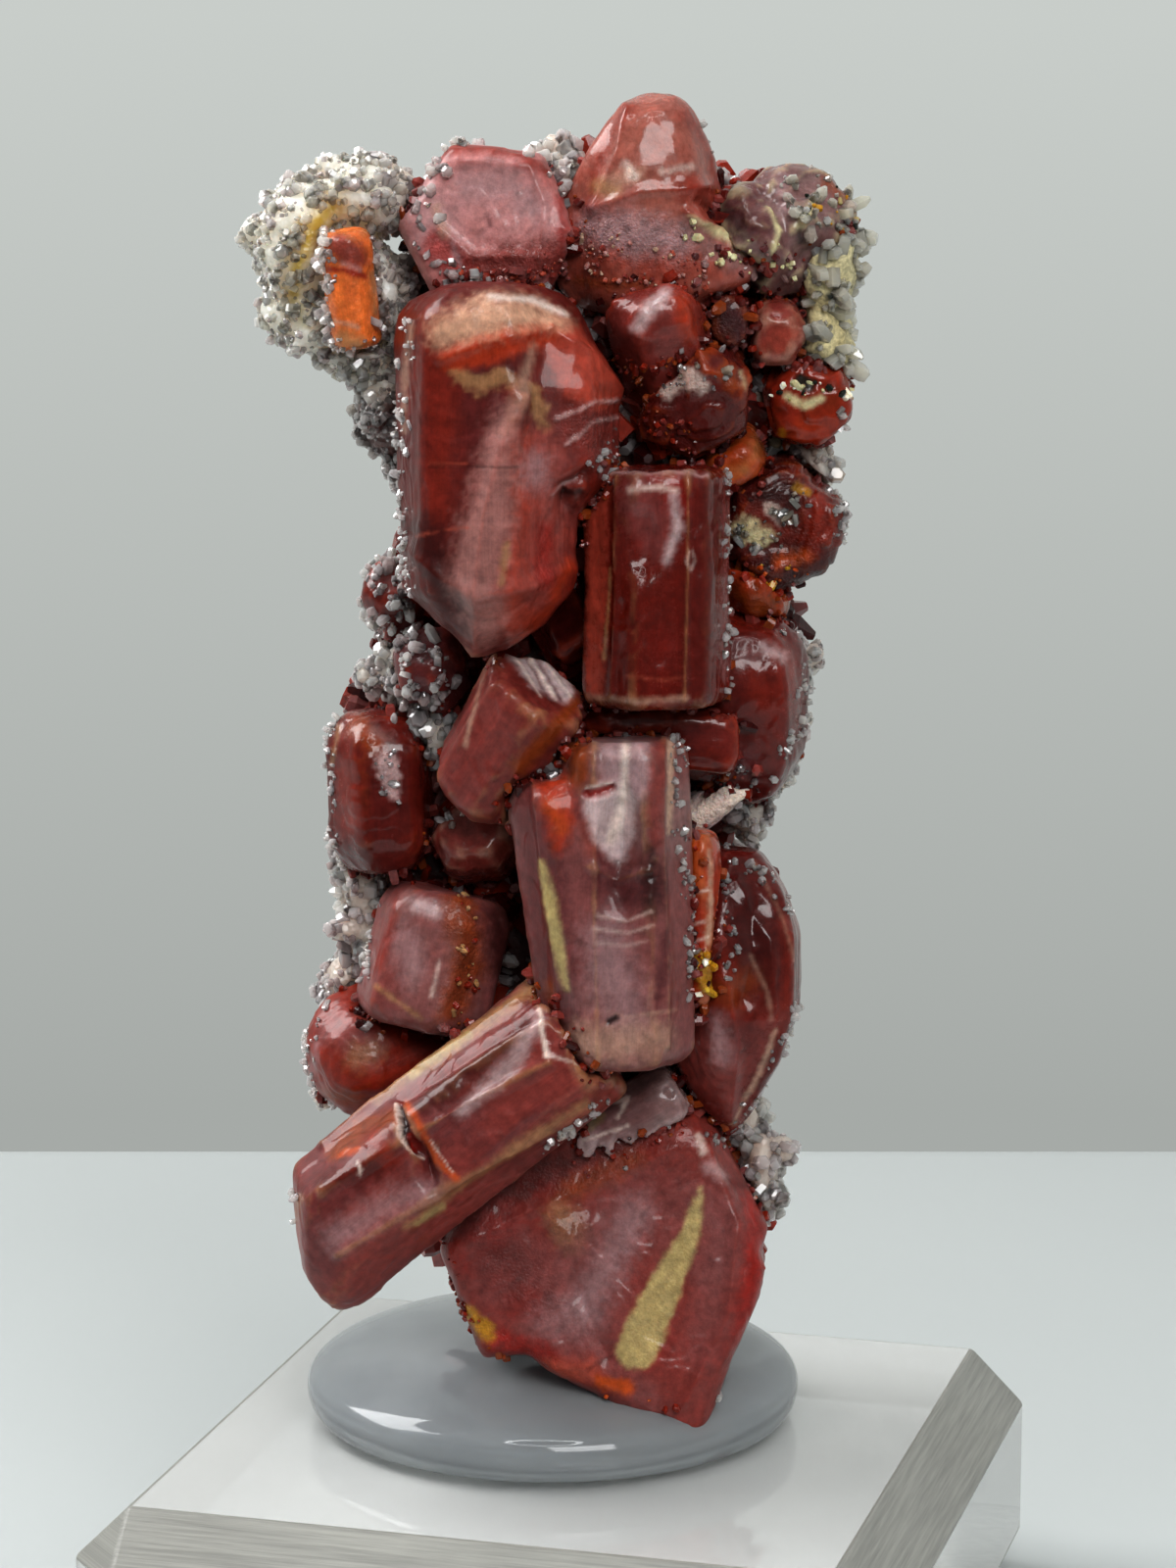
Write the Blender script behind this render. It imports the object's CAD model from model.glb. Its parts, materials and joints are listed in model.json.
"""Looks of a vanadinite specimen on its matrix, standing in a gel pad on a bevelled acrylic block.
Lengths are in millimetres until a mesh is made. The specimen's own frame is the block's, turned
round Z, with x to its right and y to its back, and most places on it are given there."""

import itertools
import json
import math

import bpy
import numpy as np
from mathutils import Matrix, Vector
from mathutils.bvhtree import BVHTree

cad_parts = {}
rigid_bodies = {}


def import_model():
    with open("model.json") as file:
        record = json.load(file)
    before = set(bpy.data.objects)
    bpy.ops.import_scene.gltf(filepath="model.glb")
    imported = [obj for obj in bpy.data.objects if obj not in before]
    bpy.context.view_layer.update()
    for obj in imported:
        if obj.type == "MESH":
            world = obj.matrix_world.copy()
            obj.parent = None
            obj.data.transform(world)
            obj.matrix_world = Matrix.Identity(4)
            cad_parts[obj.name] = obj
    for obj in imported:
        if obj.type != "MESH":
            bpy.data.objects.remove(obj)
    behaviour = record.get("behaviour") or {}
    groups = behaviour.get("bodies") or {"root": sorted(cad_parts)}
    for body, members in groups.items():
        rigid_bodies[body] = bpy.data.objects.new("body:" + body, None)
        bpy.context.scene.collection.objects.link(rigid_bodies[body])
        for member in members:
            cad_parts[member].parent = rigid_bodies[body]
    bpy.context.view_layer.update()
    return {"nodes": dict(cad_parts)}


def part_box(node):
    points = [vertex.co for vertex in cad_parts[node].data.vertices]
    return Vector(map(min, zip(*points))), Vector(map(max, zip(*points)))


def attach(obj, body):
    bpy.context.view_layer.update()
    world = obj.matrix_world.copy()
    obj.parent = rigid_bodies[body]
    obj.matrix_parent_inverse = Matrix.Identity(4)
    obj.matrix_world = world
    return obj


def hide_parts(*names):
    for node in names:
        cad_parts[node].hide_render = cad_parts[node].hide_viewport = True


MM = 0.001
SPECIMEN_TURN = math.radians(15.5)

# The camera, in the specimen's frame, and its focal length in pixels of a 1200 x 1600 picture.
CAMERA_PLACE = (0.63, -170.7, 69.4)
CAMERA_TILT = math.radians(10.97)
PICTURE_SIZE = (1200, 1600)
FOCAL_PIXELS = 4518.0
SENSOR = 36.0

# Surface colours, as sRGB hex values.
MAROON = "571712"
DARK_MAROON = "350B0A"
BLACK_RED = "1B0505"
BRICK = "7E2414"
RED = "8C2018"
ORANGE_RED = "9C3418"
ORANGE = "AE4A16"
ORANGE_BROWN = "7E3814"
SALMON = "9C4634"
PINK_RED = "7C342E"
MAUVE = "7A4644"
DEEP_MAUVE = "5A2A2C"
GREY_MAUVE = "826664"
LILAC = "9E8284"
SILVER = "BCA8A8"
PALE = "D6C4BA"
CREAM = "B49480"
TAN = "A07A54"
OLIVE_TAN = "AA9866"
GOLD = "B0801E"
YELLOW = "C6A53C"
STRAW = "C8BE96"
MOSS_BLACK = "1C211A"
BROWN_ROCK = "57452E"
GREY_ROCK = "7C7466"
SNOW = "F7EEDF"
SUGAR = "F6EAD5"
PINK_SUGAR = "C4A8A6"
PEACH = "C69C82"
ROSE = "A0706A"
CORAL = "9A3E2E"
PALE_MAUVE = "B47E7C"
OXBLOOD = "5E1208"
DUSTY_ROSE = "96584C"
BRIGHT_ORANGE = "DC7638"
TABLE_PAINT = "B3B7B7"
WALL_PAINT = "C5C9C6"


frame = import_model()


def linear(code):
    """The sRGB hex colour as linear red, green, blue."""
    values = [int(code[i:i + 2], 16) / 255 for i in (0, 2, 4)]
    return tuple(v / 12.92 if v <= 0.04045 else ((v + 0.055) / 1.055) ** 2.4 for v in values)


def ramp(low, high, value):
    """0 below low, 1 above high and an even rise between, rounded at both ends."""
    t = np.clip((value - low) / (high - low), 0, 1)
    return t * t * (3 - 2 * t)


def blend(first, second, amount):
    """Rows of colour that go from the first to the second by the amount of each row."""
    return first + (np.asarray(second) - first) * amount[:, None]


def smooth_noise(points, size, seed=0):
    """Smooth random values from -1 to 1 that change over about that size."""
    at = points / np.asarray(size, float)
    cell = np.floor(at).astype(np.int64)
    t = at - cell
    t = t * t * (3 - 2 * t)
    total = np.zeros(len(points))
    for corner in itertools.product((0, 1), repeat=3):
        weight = np.prod(np.where(corner, t, 1 - t), axis=1)
        x, y, z = (cell + corner).T
        mixed = (x * 73856093) ^ (y * 19349663) ^ (z * 83492791) ^ (seed * 40503 + 977)
        mixed = (mixed ^ (mixed >> 13)) * 1274126177
        total += weight * (((mixed ^ (mixed >> 16)) & 0xFFFF) / 32767.5 - 1)
    return total


def rough_noise(points, size, seed=0, layers=3):
    """Noise of that size with finer and weaker layers on it."""
    size = np.asarray(size, float)
    parts = [smooth_noise(points, size / 2 ** k, seed + 31 * k) / 2 ** k for k in range(layers)]
    return sum(parts) / sum(0.5 ** k for k in range(layers))


def to_specimen(points):
    """Points in metres as millimetres in the specimen's frame. It turns directions too."""
    c, s = math.cos(SPECIMEN_TURN), math.sin(SPECIMEN_TURN)
    x, y, z = points.T
    return np.stack([c * x + s * y, c * y - s * x, z], axis=1) / MM


def from_specimen(points):
    """The way back, from the specimen's frame in millimetres to metres."""
    c, s = math.cos(SPECIMEN_TURN), math.sin(SPECIMEN_TURN)
    x, y, z = np.asarray(points, float).T
    return np.stack([c * x - s * y, s * x + c * y, z], axis=1) * MM


def in_picture(points):
    """Where points of the specimen's frame are in the picture, in pixels."""
    away = points - np.array(CAMERA_PLACE)
    c, s = math.cos(CAMERA_TILT), math.sin(CAMERA_TILT)
    depth = away[:, 1] * c - away[:, 2] * s
    rise = away[:, 1] * s + away[:, 2] * c
    middle = np.array(PICTURE_SIZE) / 2
    return middle + FOCAL_PIXELS * np.stack([away[:, 0], -rise], axis=1) / depth[:, None]


def facing_camera(points, normals):
    away = np.array(CAMERA_PLACE) - points
    away /= np.linalg.norm(away, axis=1)[:, None]
    return (away * normals).sum(axis=1)


# Objects and meshes

def make_active(obj):
    bpy.ops.object.select_all(action="DESELECT")
    obj.select_set(True)
    bpy.context.view_layer.objects.active = obj


def new_object(name, mesh):
    obj = bpy.data.objects.new(name, mesh)
    bpy.context.scene.collection.objects.link(obj)
    make_active(obj)
    return obj


def whole_copy(node, name):
    """A copy of a CAD node's solid with its loose triangles joined into whole facets."""
    obj = new_object(name, frame["nodes"][node].data.copy())
    obj.data.materials.clear()
    bpy.ops.object.mode_set(mode="EDIT")
    bpy.ops.mesh.select_all(action="SELECT")
    bpy.ops.mesh.remove_doubles(threshold=0.004 * MM)
    bpy.ops.mesh.dissolve_limited(angle_limit=math.radians(1))
    bpy.ops.object.mode_set(mode="OBJECT")
    return obj


def new_box(name, middle, size, turn=0.0):
    """A box of that size in metres, turned round the upright."""
    bpy.ops.object.select_all(action="DESELECT")
    bpy.ops.mesh.primitive_cube_add(size=1, location=middle, rotation=(0, 0, turn))
    obj = bpy.context.object
    obj.name = name
    obj.scale = size
    bpy.ops.object.transform_apply(location=True, rotation=True, scale=True)
    return obj


def modify(obj, kind, **settings):
    """Adds a modifier and applies it."""
    make_active(obj)
    modifier = obj.modifiers.new(kind.lower(), kind)
    for key, value in settings.items():
        setattr(modifier, key, value)
    bpy.ops.object.modifier_apply(modifier=modifier.name)


def read_points(mesh):
    values = np.empty(len(mesh.vertices) * 3)
    mesh.vertices.foreach_get("co", values)
    return values.reshape(-1, 3)


def read_normals(mesh):
    values = np.empty(len(mesh.vertices) * 3, np.float32)
    mesh.vertex_normals.foreach_get("vector", values)
    return values.reshape(-1, 3).astype(float)


def read_surface(mesh):
    """Its points in mm and its normals, both in the specimen's frame."""
    return to_specimen(read_points(mesh)), to_specimen(read_normals(mesh)) * MM


def write_points(mesh, points):
    mesh.vertices.foreach_set("co", points.ravel())
    mesh.update()


def write_attribute(mesh, name, kind, values):
    """Stores one value for each vertex. A colour gets an alpha of 1."""
    attribute = mesh.attributes.new(name, kind, "POINT")
    field = {"FLOAT": "value", "FLOAT_VECTOR": "vector", "FLOAT_COLOR": "color"}[kind]
    if kind == "FLOAT_COLOR":
        values = np.column_stack([values, np.ones(len(values))])
    attribute.data.foreach_set(field, np.ascontiguousarray(values, np.float32).ravel())


def edge_sharpness(mesh, points, normals, rounds=12):
    """How far each point stands out of an evened copy of the mesh, in mm: above 0 on edges."""
    ends = np.empty(len(mesh.edges) * 2, np.int32)
    mesh.edges.foreach_get("vertices", ends)
    a, b = ends.reshape(-1, 2).T
    links = np.bincount(a, minlength=len(points)) + np.bincount(b, minlength=len(points))
    even = points.copy()
    for _ in range(rounds):
        total = np.zeros_like(even)
        for k in range(3):
            total[:, k] = np.bincount(a, even[b, k], len(points)) + np.bincount(b, even[a, k], len(points))
        even = total / links[:, None]
    return ((points - even) * normals).sum(axis=1)


def finish_piece(obj, material, nodes=(), smooth=True):
    """Gives the piece its material, its body and the nodes that it stands for."""
    obj.data.materials.clear()
    obj.data.materials.append(material)
    if smooth:
        obj.data.shade_smooth()
    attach(obj, "root")
    if nodes:
        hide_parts(*nodes)
    return obj


# Materials

def new_material(name):
    material = bpy.data.materials.new(name)
    material.use_nodes = True
    tree = material.node_tree
    return material, tree, tree.nodes["Principled BSDF"]


def add_node(tree, kind, settings=(), *numbered, **named):
    """A node with its settings, and an output or a value for its inputs, by number or by name."""
    node = tree.nodes.new(kind)
    for key, value in dict(settings).items():
        setattr(node, key, value)
    links = list(zip(node.inputs, numbered))
    for key, value in named.items():
        wanted = key.replace("_", " ").title()
        links.append((next(i for i in node.inputs if i.enabled and i.name == wanted), value))
    for socket, value in links:
        if isinstance(value, bpy.types.NodeSocket):
            tree.links.new(value, socket)
        else:
            socket.default_value = value
    return node


def set_sockets(shader, **values):
    for key, value in values.items():
        shader.inputs[key.replace("_", " ")].default_value = value


def vanadinite(name, roughness, glow, coat):
    """Lead vanadate, grown in hexagonal prisms: a greasy, nearly resinous gloss over colour that
    lies a little under the surface, with fine growth lines along each prism. The tint, the silky
    film and the grit come from the mesh."""
    material, tree, shader = new_material(name)
    tint = add_node(tree, "ShaderNodeAttribute", {"attribute_name": "tint"}).outputs["Color"]
    silk = add_node(tree, "ShaderNodeAttribute", {"attribute_name": "silk"}).outputs["Fac"]
    grit = add_node(tree, "ShaderNodeAttribute", {"attribute_name": "grit"}).outputs["Fac"]
    own = add_node(tree, "ShaderNodeAttribute", {"attribute_name": "grain"}).outputs["Vector"]
    # Growth lines 0.07 mm apart and about 2 mm long, and clouds 0.4 mm wide.
    drawn = add_node(tree, "ShaderNodeMapping", vector=own, scale=(14.0, 14.0, 0.5)).outputs[0]
    lines = add_node(tree, "ShaderNodeTexNoise", vector=drawn, scale=1.0, detail=2.0).outputs["Fac"]
    clouds = add_node(tree, "ShaderNodeTexNoise", vector=own, scale=2.6, detail=5.0,
                      roughness=0.65).outputs["Fac"]
    grains = add_node(tree, "ShaderNodeTexNoise", vector=own, scale=9.0, detail=3.0).outputs["Fac"]
    shade = add_node(tree, "ShaderNodeMath", {"operation": "MULTIPLY_ADD"}, lines, 0.25, clouds)
    varied = add_node(tree, "ShaderNodeMapRange", value=shade.outputs[0], from_min=0.4, from_max=0.85,
                      to_min=0.72, to_max=1.3)
    coloured = add_node(tree, "ShaderNodeVectorMath", {"operation": "SCALE"}, tint, scale=varied.outputs[0])
    tree.links.new(coloured.outputs[0], shader.inputs["Base Color"])
    # The silky film dulls the gloss, and the clouds make it uneven by an eighth to either side.
    dull = add_node(tree, "ShaderNodeMapRange", value=silk, to_min=roughness - 0.125, to_max=0.375)
    uneven = add_node(tree, "ShaderNodeMath", {"operation": "MULTIPLY_ADD"}, clouds, 0.25, dull.outputs[0])
    tree.links.new(uneven.outputs[0], shader.inputs["Roughness"])
    fine = add_node(tree, "ShaderNodeBump", strength=0.5, distance=0.012 * MM, height=lines)
    coarse = add_node(tree, "ShaderNodeBump", distance=0.12 * MM, height=grains, strength=grit,
                      normal=fine.outputs[0])
    tree.links.new(coarse.outputs[0], shader.inputs["Normal"])
    set_sockets(shader, IOR=1.5, Specular_IOR_Level=0.2, Subsurface_Weight=glow, Subsurface_Scale=0.6 * MM,
                Subsurface_Radius=(1.0, 0.28, 0.16), Coat_Weight=coat, Coat_Roughness=0.08)
    return material


def clear_crystal(name):
    """Colourless sugary crystals grown over the rest. Light passes from one into the next that
    it has grown into, so their index is that of such a contact, and the coat gives their outer
    faces the gloss of a calcite-like mineral."""
    material, tree, shader = new_material(name)
    tint = add_node(tree, "ShaderNodeAttribute", {"attribute_name": "tint"}).outputs["Color"]
    own = add_node(tree, "ShaderNodeTexCoord").outputs["Object"]
    # Etch pits 0.1 mm wide.
    pits = add_node(tree, "ShaderNodeTexNoise", vector=own, scale=9000.0, detail=2.0).outputs["Fac"]
    mixed = add_node(tree, "ShaderNodeMix", {"data_type": "RGBA"}, 0.7)
    mixed.inputs[6].default_value = (*linear("FDFCFB"), 1)
    tree.links.new(tint, mixed.inputs[7])
    tree.links.new(mixed.outputs[2], shader.inputs["Base Color"])
    bump = add_node(tree, "ShaderNodeBump", strength=0.4, distance=0.01 * MM, height=pits)
    tree.links.new(bump.outputs[0], shader.inputs["Normal"])
    set_sockets(shader, IOR=1.18, Roughness=0.03, Transmission_Weight=0.42, Subsurface_Weight=1.0,
                Subsurface_Scale=2 * MM, Subsurface_Radius=(1.0, 0.95, 0.9),
                Coat_Weight=1.0, Coat_Roughness=0.03, Coat_IOR=1.6)
    return material


def cloudy_crystal(name):
    """The mass under the sugary crystals: so many small grains that it scatters light like
    packed snow, grey white, with the colours that the mesh carries."""
    material, tree, shader = new_material(name)
    tint = add_node(tree, "ShaderNodeAttribute", {"attribute_name": "tint"}).outputs["Color"]
    own = add_node(tree, "ShaderNodeTexCoord").outputs["Object"]
    # Grains 0.2 mm wide.
    grains = add_node(tree, "ShaderNodeTexVoronoi", vector=own, scale=5000.0).outputs["Distance"]
    tree.links.new(tint, shader.inputs["Base Color"])
    bump = add_node(tree, "ShaderNodeBump", strength=0.7, distance=0.08 * MM, height=grains)
    tree.links.new(bump.outputs[0], shader.inputs["Normal"])
    set_sockets(shader, IOR=1.5, Roughness=0.3, Subsurface_Weight=1.0, Subsurface_Scale=2 * MM,
                Subsurface_Radius=(1.0, 0.9, 0.85))
    return material


def rock(name):
    """Matrix rock: dull, rough and grained, in the colours that the mesh carries."""
    material, tree, shader = new_material(name)
    tint = add_node(tree, "ShaderNodeAttribute", {"attribute_name": "tint"}).outputs["Color"]
    own = add_node(tree, "ShaderNodeTexCoord").outputs["Object"]
    # Mineral grains 0.15 mm wide.
    grains = add_node(tree, "ShaderNodeTexNoise", vector=own, scale=6500.0, detail=4.0).outputs["Fac"]
    varied = add_node(tree, "ShaderNodeMapRange", value=grains, from_min=0.3, from_max=0.7,
                      to_min=0.6, to_max=1.35)
    coloured = add_node(tree, "ShaderNodeVectorMath", {"operation": "SCALE"}, tint, scale=varied.outputs[0])
    tree.links.new(coloured.outputs[0], shader.inputs["Base Color"])
    bump = add_node(tree, "ShaderNodeBump", strength=0.8, distance=0.08 * MM, height=grains)
    tree.links.new(bump.outputs[0], shader.inputs["Normal"])
    set_sockets(shader, Roughness=0.55, IOR=1.6)
    return material


def silicone_gel(name):
    """Mounting gel: soft clear silicone, a little milky and bluish, with a wet gloss."""
    material, tree, shader = new_material(name)
    own = add_node(tree, "ShaderNodeTexCoord").outputs["Object"]
    # Faint clouds 4 mm wide.
    haze = add_node(tree, "ShaderNodeTexNoise", vector=own, scale=250.0, detail=2.0).outputs["Fac"]
    tone = add_node(tree, "ShaderNodeValToRGB", fac=haze)
    tone.color_ramp.elements[0].color = (*linear("A1A6AA"), 1)
    tone.color_ramp.elements[1].color = (*linear("BEC2C4"), 1)
    tree.links.new(tone.outputs["Color"], shader.inputs["Base Color"])
    set_sockets(shader, IOR=1.41, Roughness=0.06, Transmission_Weight=0.55,
                Subsurface_Weight=0.3, Subsurface_Scale=3 * MM, Subsurface_Radius=(0.8, 0.9, 1.0))
    return material


def cast_acrylic(name):
    """Polished cast acrylic: clear, with hairline scratches that only the gloss shows."""
    material, tree, shader = new_material(name)
    own = add_node(tree, "ShaderNodeTexCoord").outputs["Object"]
    # Scratches 0.15 mm apart and 8 mm long.
    drawn = add_node(tree, "ShaderNodeMapping", vector=own, scale=(7000, 120, 7000),
                     rotation=(0, 0, 0.7)).outputs[0]
    scratches = add_node(tree, "ShaderNodeTexNoise", vector=drawn, scale=1.0, detail=2.0).outputs["Fac"]
    gloss = add_node(tree, "ShaderNodeMapRange", value=scratches, from_min=0.55, from_max=0.8,
                     to_min=0.02, to_max=0.14)
    tree.links.new(gloss.outputs[0], shader.inputs["Roughness"])
    set_sockets(shader, IOR=1.49, Transmission_Weight=0.6, Base_Color=(*linear("FCFDFC"), 1))
    return material


def sawn_acrylic(name):
    """Acrylic as the saw leaves it: a greyish frost with fine lines along the cut."""
    material, tree, shader = new_material(name)
    own = add_node(tree, "ShaderNodeAttribute", {"attribute_name": "along"}).outputs["Vector"]
    # Saw lines 0.12 mm apart.
    drawn = add_node(tree, "ShaderNodeMapping", vector=own, scale=(0.25, 8.0, 8.0)).outputs[0]
    lines = add_node(tree, "ShaderNodeTexNoise", vector=drawn, scale=1.0, detail=3.0,
                     roughness=0.6).outputs["Fac"]
    tone = add_node(tree, "ShaderNodeValToRGB", fac=lines)
    tone.color_ramp.elements[0].position = 0.3
    tone.color_ramp.elements[0].color = (*linear("94938E"), 1)
    tone.color_ramp.elements[1].position = 0.7
    tone.color_ramp.elements[1].color = (*linear("B8B7B0"), 1)
    tree.links.new(tone.outputs["Color"], shader.inputs["Base Color"])
    bump = add_node(tree, "ShaderNodeBump", strength=0.6, distance=0.03 * MM, height=lines)
    tree.links.new(bump.outputs[0], shader.inputs["Normal"])
    set_sockets(shader, IOR=1.49, Roughness=0.42, Transmission_Weight=0.45)
    return material


# Colour and relief on the crystals

def stroke(colour, points, width, soft=5.0, ragged=0.0, amount=1.0, silk=None, grit=None, rise=0.0):
    """A stroke over the side that the camera sees: its points and half width in picture pixels,
    with one width or one for each point, how soft and ragged its edge is, the silky film and
    the grit that it has, and how far it stands out of the surface in mm."""
    widths = width if isinstance(width, tuple) else (width,) * len(points)
    return dict(colour=colour, points=points, widths=widths, soft=soft, ragged=ragged,
                amount=amount, silk=silk, grit=grit, rise=rise)


def ridge(points, reach, height):
    """A crisp edge between two faces, or a groove where height is below 0: it stands half its
    height in mm out of the surface and falls off evenly over its reach in pixels."""
    return stroke(None, points, 0, reach, rise=height)


def stroke_cover(stroke_set, pixels, seed):
    """How much of a stroke lies on each point, from 0 to 1. A coloured stroke's edge is wider
    and finely broken up, and a ridge or groove, which has no colour, keeps a clean one."""
    inside = np.full(len(pixels), -1e3)
    points, widths = stroke_set["points"], stroke_set["widths"]
    if len(points) == 1:
        points, widths = points * 2, widths * 2
    for i in range(len(points) - 1):
        start, along = np.array(points[i], float), np.subtract(points[i + 1], points[i])
        t = np.clip((pixels - start) @ along / max(float(along @ along), 1e-6), 0, 1)
        gap = np.linalg.norm(pixels - start - t[:, None] * along, axis=1)
        inside = np.maximum(inside, widths[i] + (widths[i + 1] - widths[i]) * t - gap)
    flat = np.column_stack([pixels, np.zeros(len(pixels))])
    soft = stroke_set["soft"]
    inside = inside + stroke_set["ragged"] * rough_noise(flat, 9.0, seed)
    if stroke_set["colour"]:
        soft *= 1.5
        inside = inside + 0.45 * soft * rough_noise(flat, 3.5, seed + 50)
    return ramp(-soft, soft, inside) * stroke_set["amount"]


def own_frame(axis):
    """Rows that turn the specimen's frame to a crystal's own, with z along the crystal."""
    z = Vector(axis).normalized()
    x = z.cross(Vector((0, 1, 0)) if abs(z.y) < 0.8 else Vector((1, 0, 0))).normalized()
    return np.array([x, z.cross(x), z])


def carve_and_tint(obj, look, seed):
    """Gives a remeshed crystal its relief, its colours, its film and its grit."""
    mesh = obj.data
    points, normals = read_surface(mesh)
    pixels = in_picture(points)
    facing = facing_camera(points, normals)
    seen, shaped = ramp(0.0, 0.25, facing), ramp(-0.5, -0.1, facing)
    own = (points - points.mean(axis=0)) @ own_frame(look["axis"]).T
    covers = [stroke_cover(s, pixels, seed + i) * (seen if s["colour"] else shaped)
              for i, s in enumerate(look["strokes"])]

    silk = np.full(len(points), look["silk"]) + 0.25 * rough_noise(own, 2.2, seed + 5)
    grit = np.full(len(points), look["grit"])
    for s, cover in zip(look["strokes"], covers):
        if s["silk"] is not None:
            silk += (s["silk"] - silk) * cover
        if s["grit"] is not None:
            grit += (s["grit"] - grit) * cover

    rise = look["lumps"] * rough_noise(own, (1.8, 1.8, 2.6), seed)
    rise += look["lines"] * smooth_noise(own, (0.42, 0.42, 9.0), seed + 1)
    rise += look["rings"] * smooth_noise(own, (5.0, 5.0, 0.5), seed + 2)
    rise += grit * 0.06 * rough_noise(own, 0.36, seed + 3)
    stair = rough_noise(own, (2.2, 2.2, 3.2), seed + 4) * 4
    rise += look["steps"] * (np.floor(stair) + ramp(0.7, 1.0, stair - np.floor(stair)))
    corners = ramp(0.02, 0.09, edge_sharpness(mesh, points, normals))
    rise -= CHIP_DEPTH * corners * ramp(0.05, 0.5, rough_noise(own, 0.8, seed + 6))
    for s, cover in zip(look["strokes"], covers):
        rise += s["rise"] * cover
    points = points + normals * rise[:, None]
    write_points(mesh, from_specimen(points))

    sharp = edge_sharpness(mesh, points, to_specimen(read_normals(mesh)) * MM)
    clouds = rough_noise(own, (2.4, 2.4, 3.4), seed + 7)
    tint = np.tile(linear(look["body"]), (len(points), 1))
    tint = blend(tint, linear(look["cloud"]), ramp(-0.15, 0.45, clouds) * look["clouded"])
    films = ramp(0.0, 0.7, rough_noise(own, (1.6, 1.6, 4.0), seed + 9))
    tint = blend(tint, linear(look["film"]), films * 0.5)
    tint = blend(tint, linear(look["edge"]), ramp(0.02, 0.09, sharp) * look["edged"])
    for s, cover in zip(look["strokes"], covers):
        if s["colour"]:
            tint = blend(tint, linear(s["colour"]), cover)
    ringed = smooth_noise(own, (6.0, 6.0, 0.16), seed + 11) * look["ringed"]
    streaked = smooth_noise(own, (0.16, 0.16, 3.0), seed + 12) * 0.03
    mottled = rough_noise(own, 0.5, seed + 13) * (0.09 + 0.3 * grit)
    mottled += smooth_noise(own, 0.2, seed + 14) * (0.05 + 0.2 * grit)
    tint *= np.clip(1 + ringed + streaked + mottled, 0.3, 2)[:, None]
    write_attribute(mesh, "tint", "FLOAT_COLOR", tint)
    write_attribute(mesh, "silk", "FLOAT", np.clip(silk, 0, 1))
    write_attribute(mesh, "grit", "FLOAT", np.clip(grit, 0, 1))
    write_attribute(mesh, "grain", "FLOAT_VECTOR", own)


def look(body, axis, strokes=(), cloud=BRICK, film=MAUVE, edge=ORANGE_RED, clouded=0.6, edged=0.4,
         silk=0.45, grit=0.1, lumps=0.08, lines=0.02, rings=0.01, ringed=0.06, steps=0.035,
         kind="silky", worn=1, swell=0.12):
    """How one crystal looks: its body colour, cloud, film and edge colours, the direction it grew
    in, its strokes, how strong its film and grit are, its lumps, growth lines, rings and steps
    in mm, how far its edges and corners are worn round, and how far it swells past its solid."""
    return dict(body=body, axis=axis, strokes=strokes, cloud=cloud, film=film, edge=edge,
                clouded=clouded, edged=edged, silk=silk, grit=grit, lumps=lumps, lines=lines,
                rings=rings, ringed=ringed, steps=steps, kind=kind,
                worn=worn, swell=swell)


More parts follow.
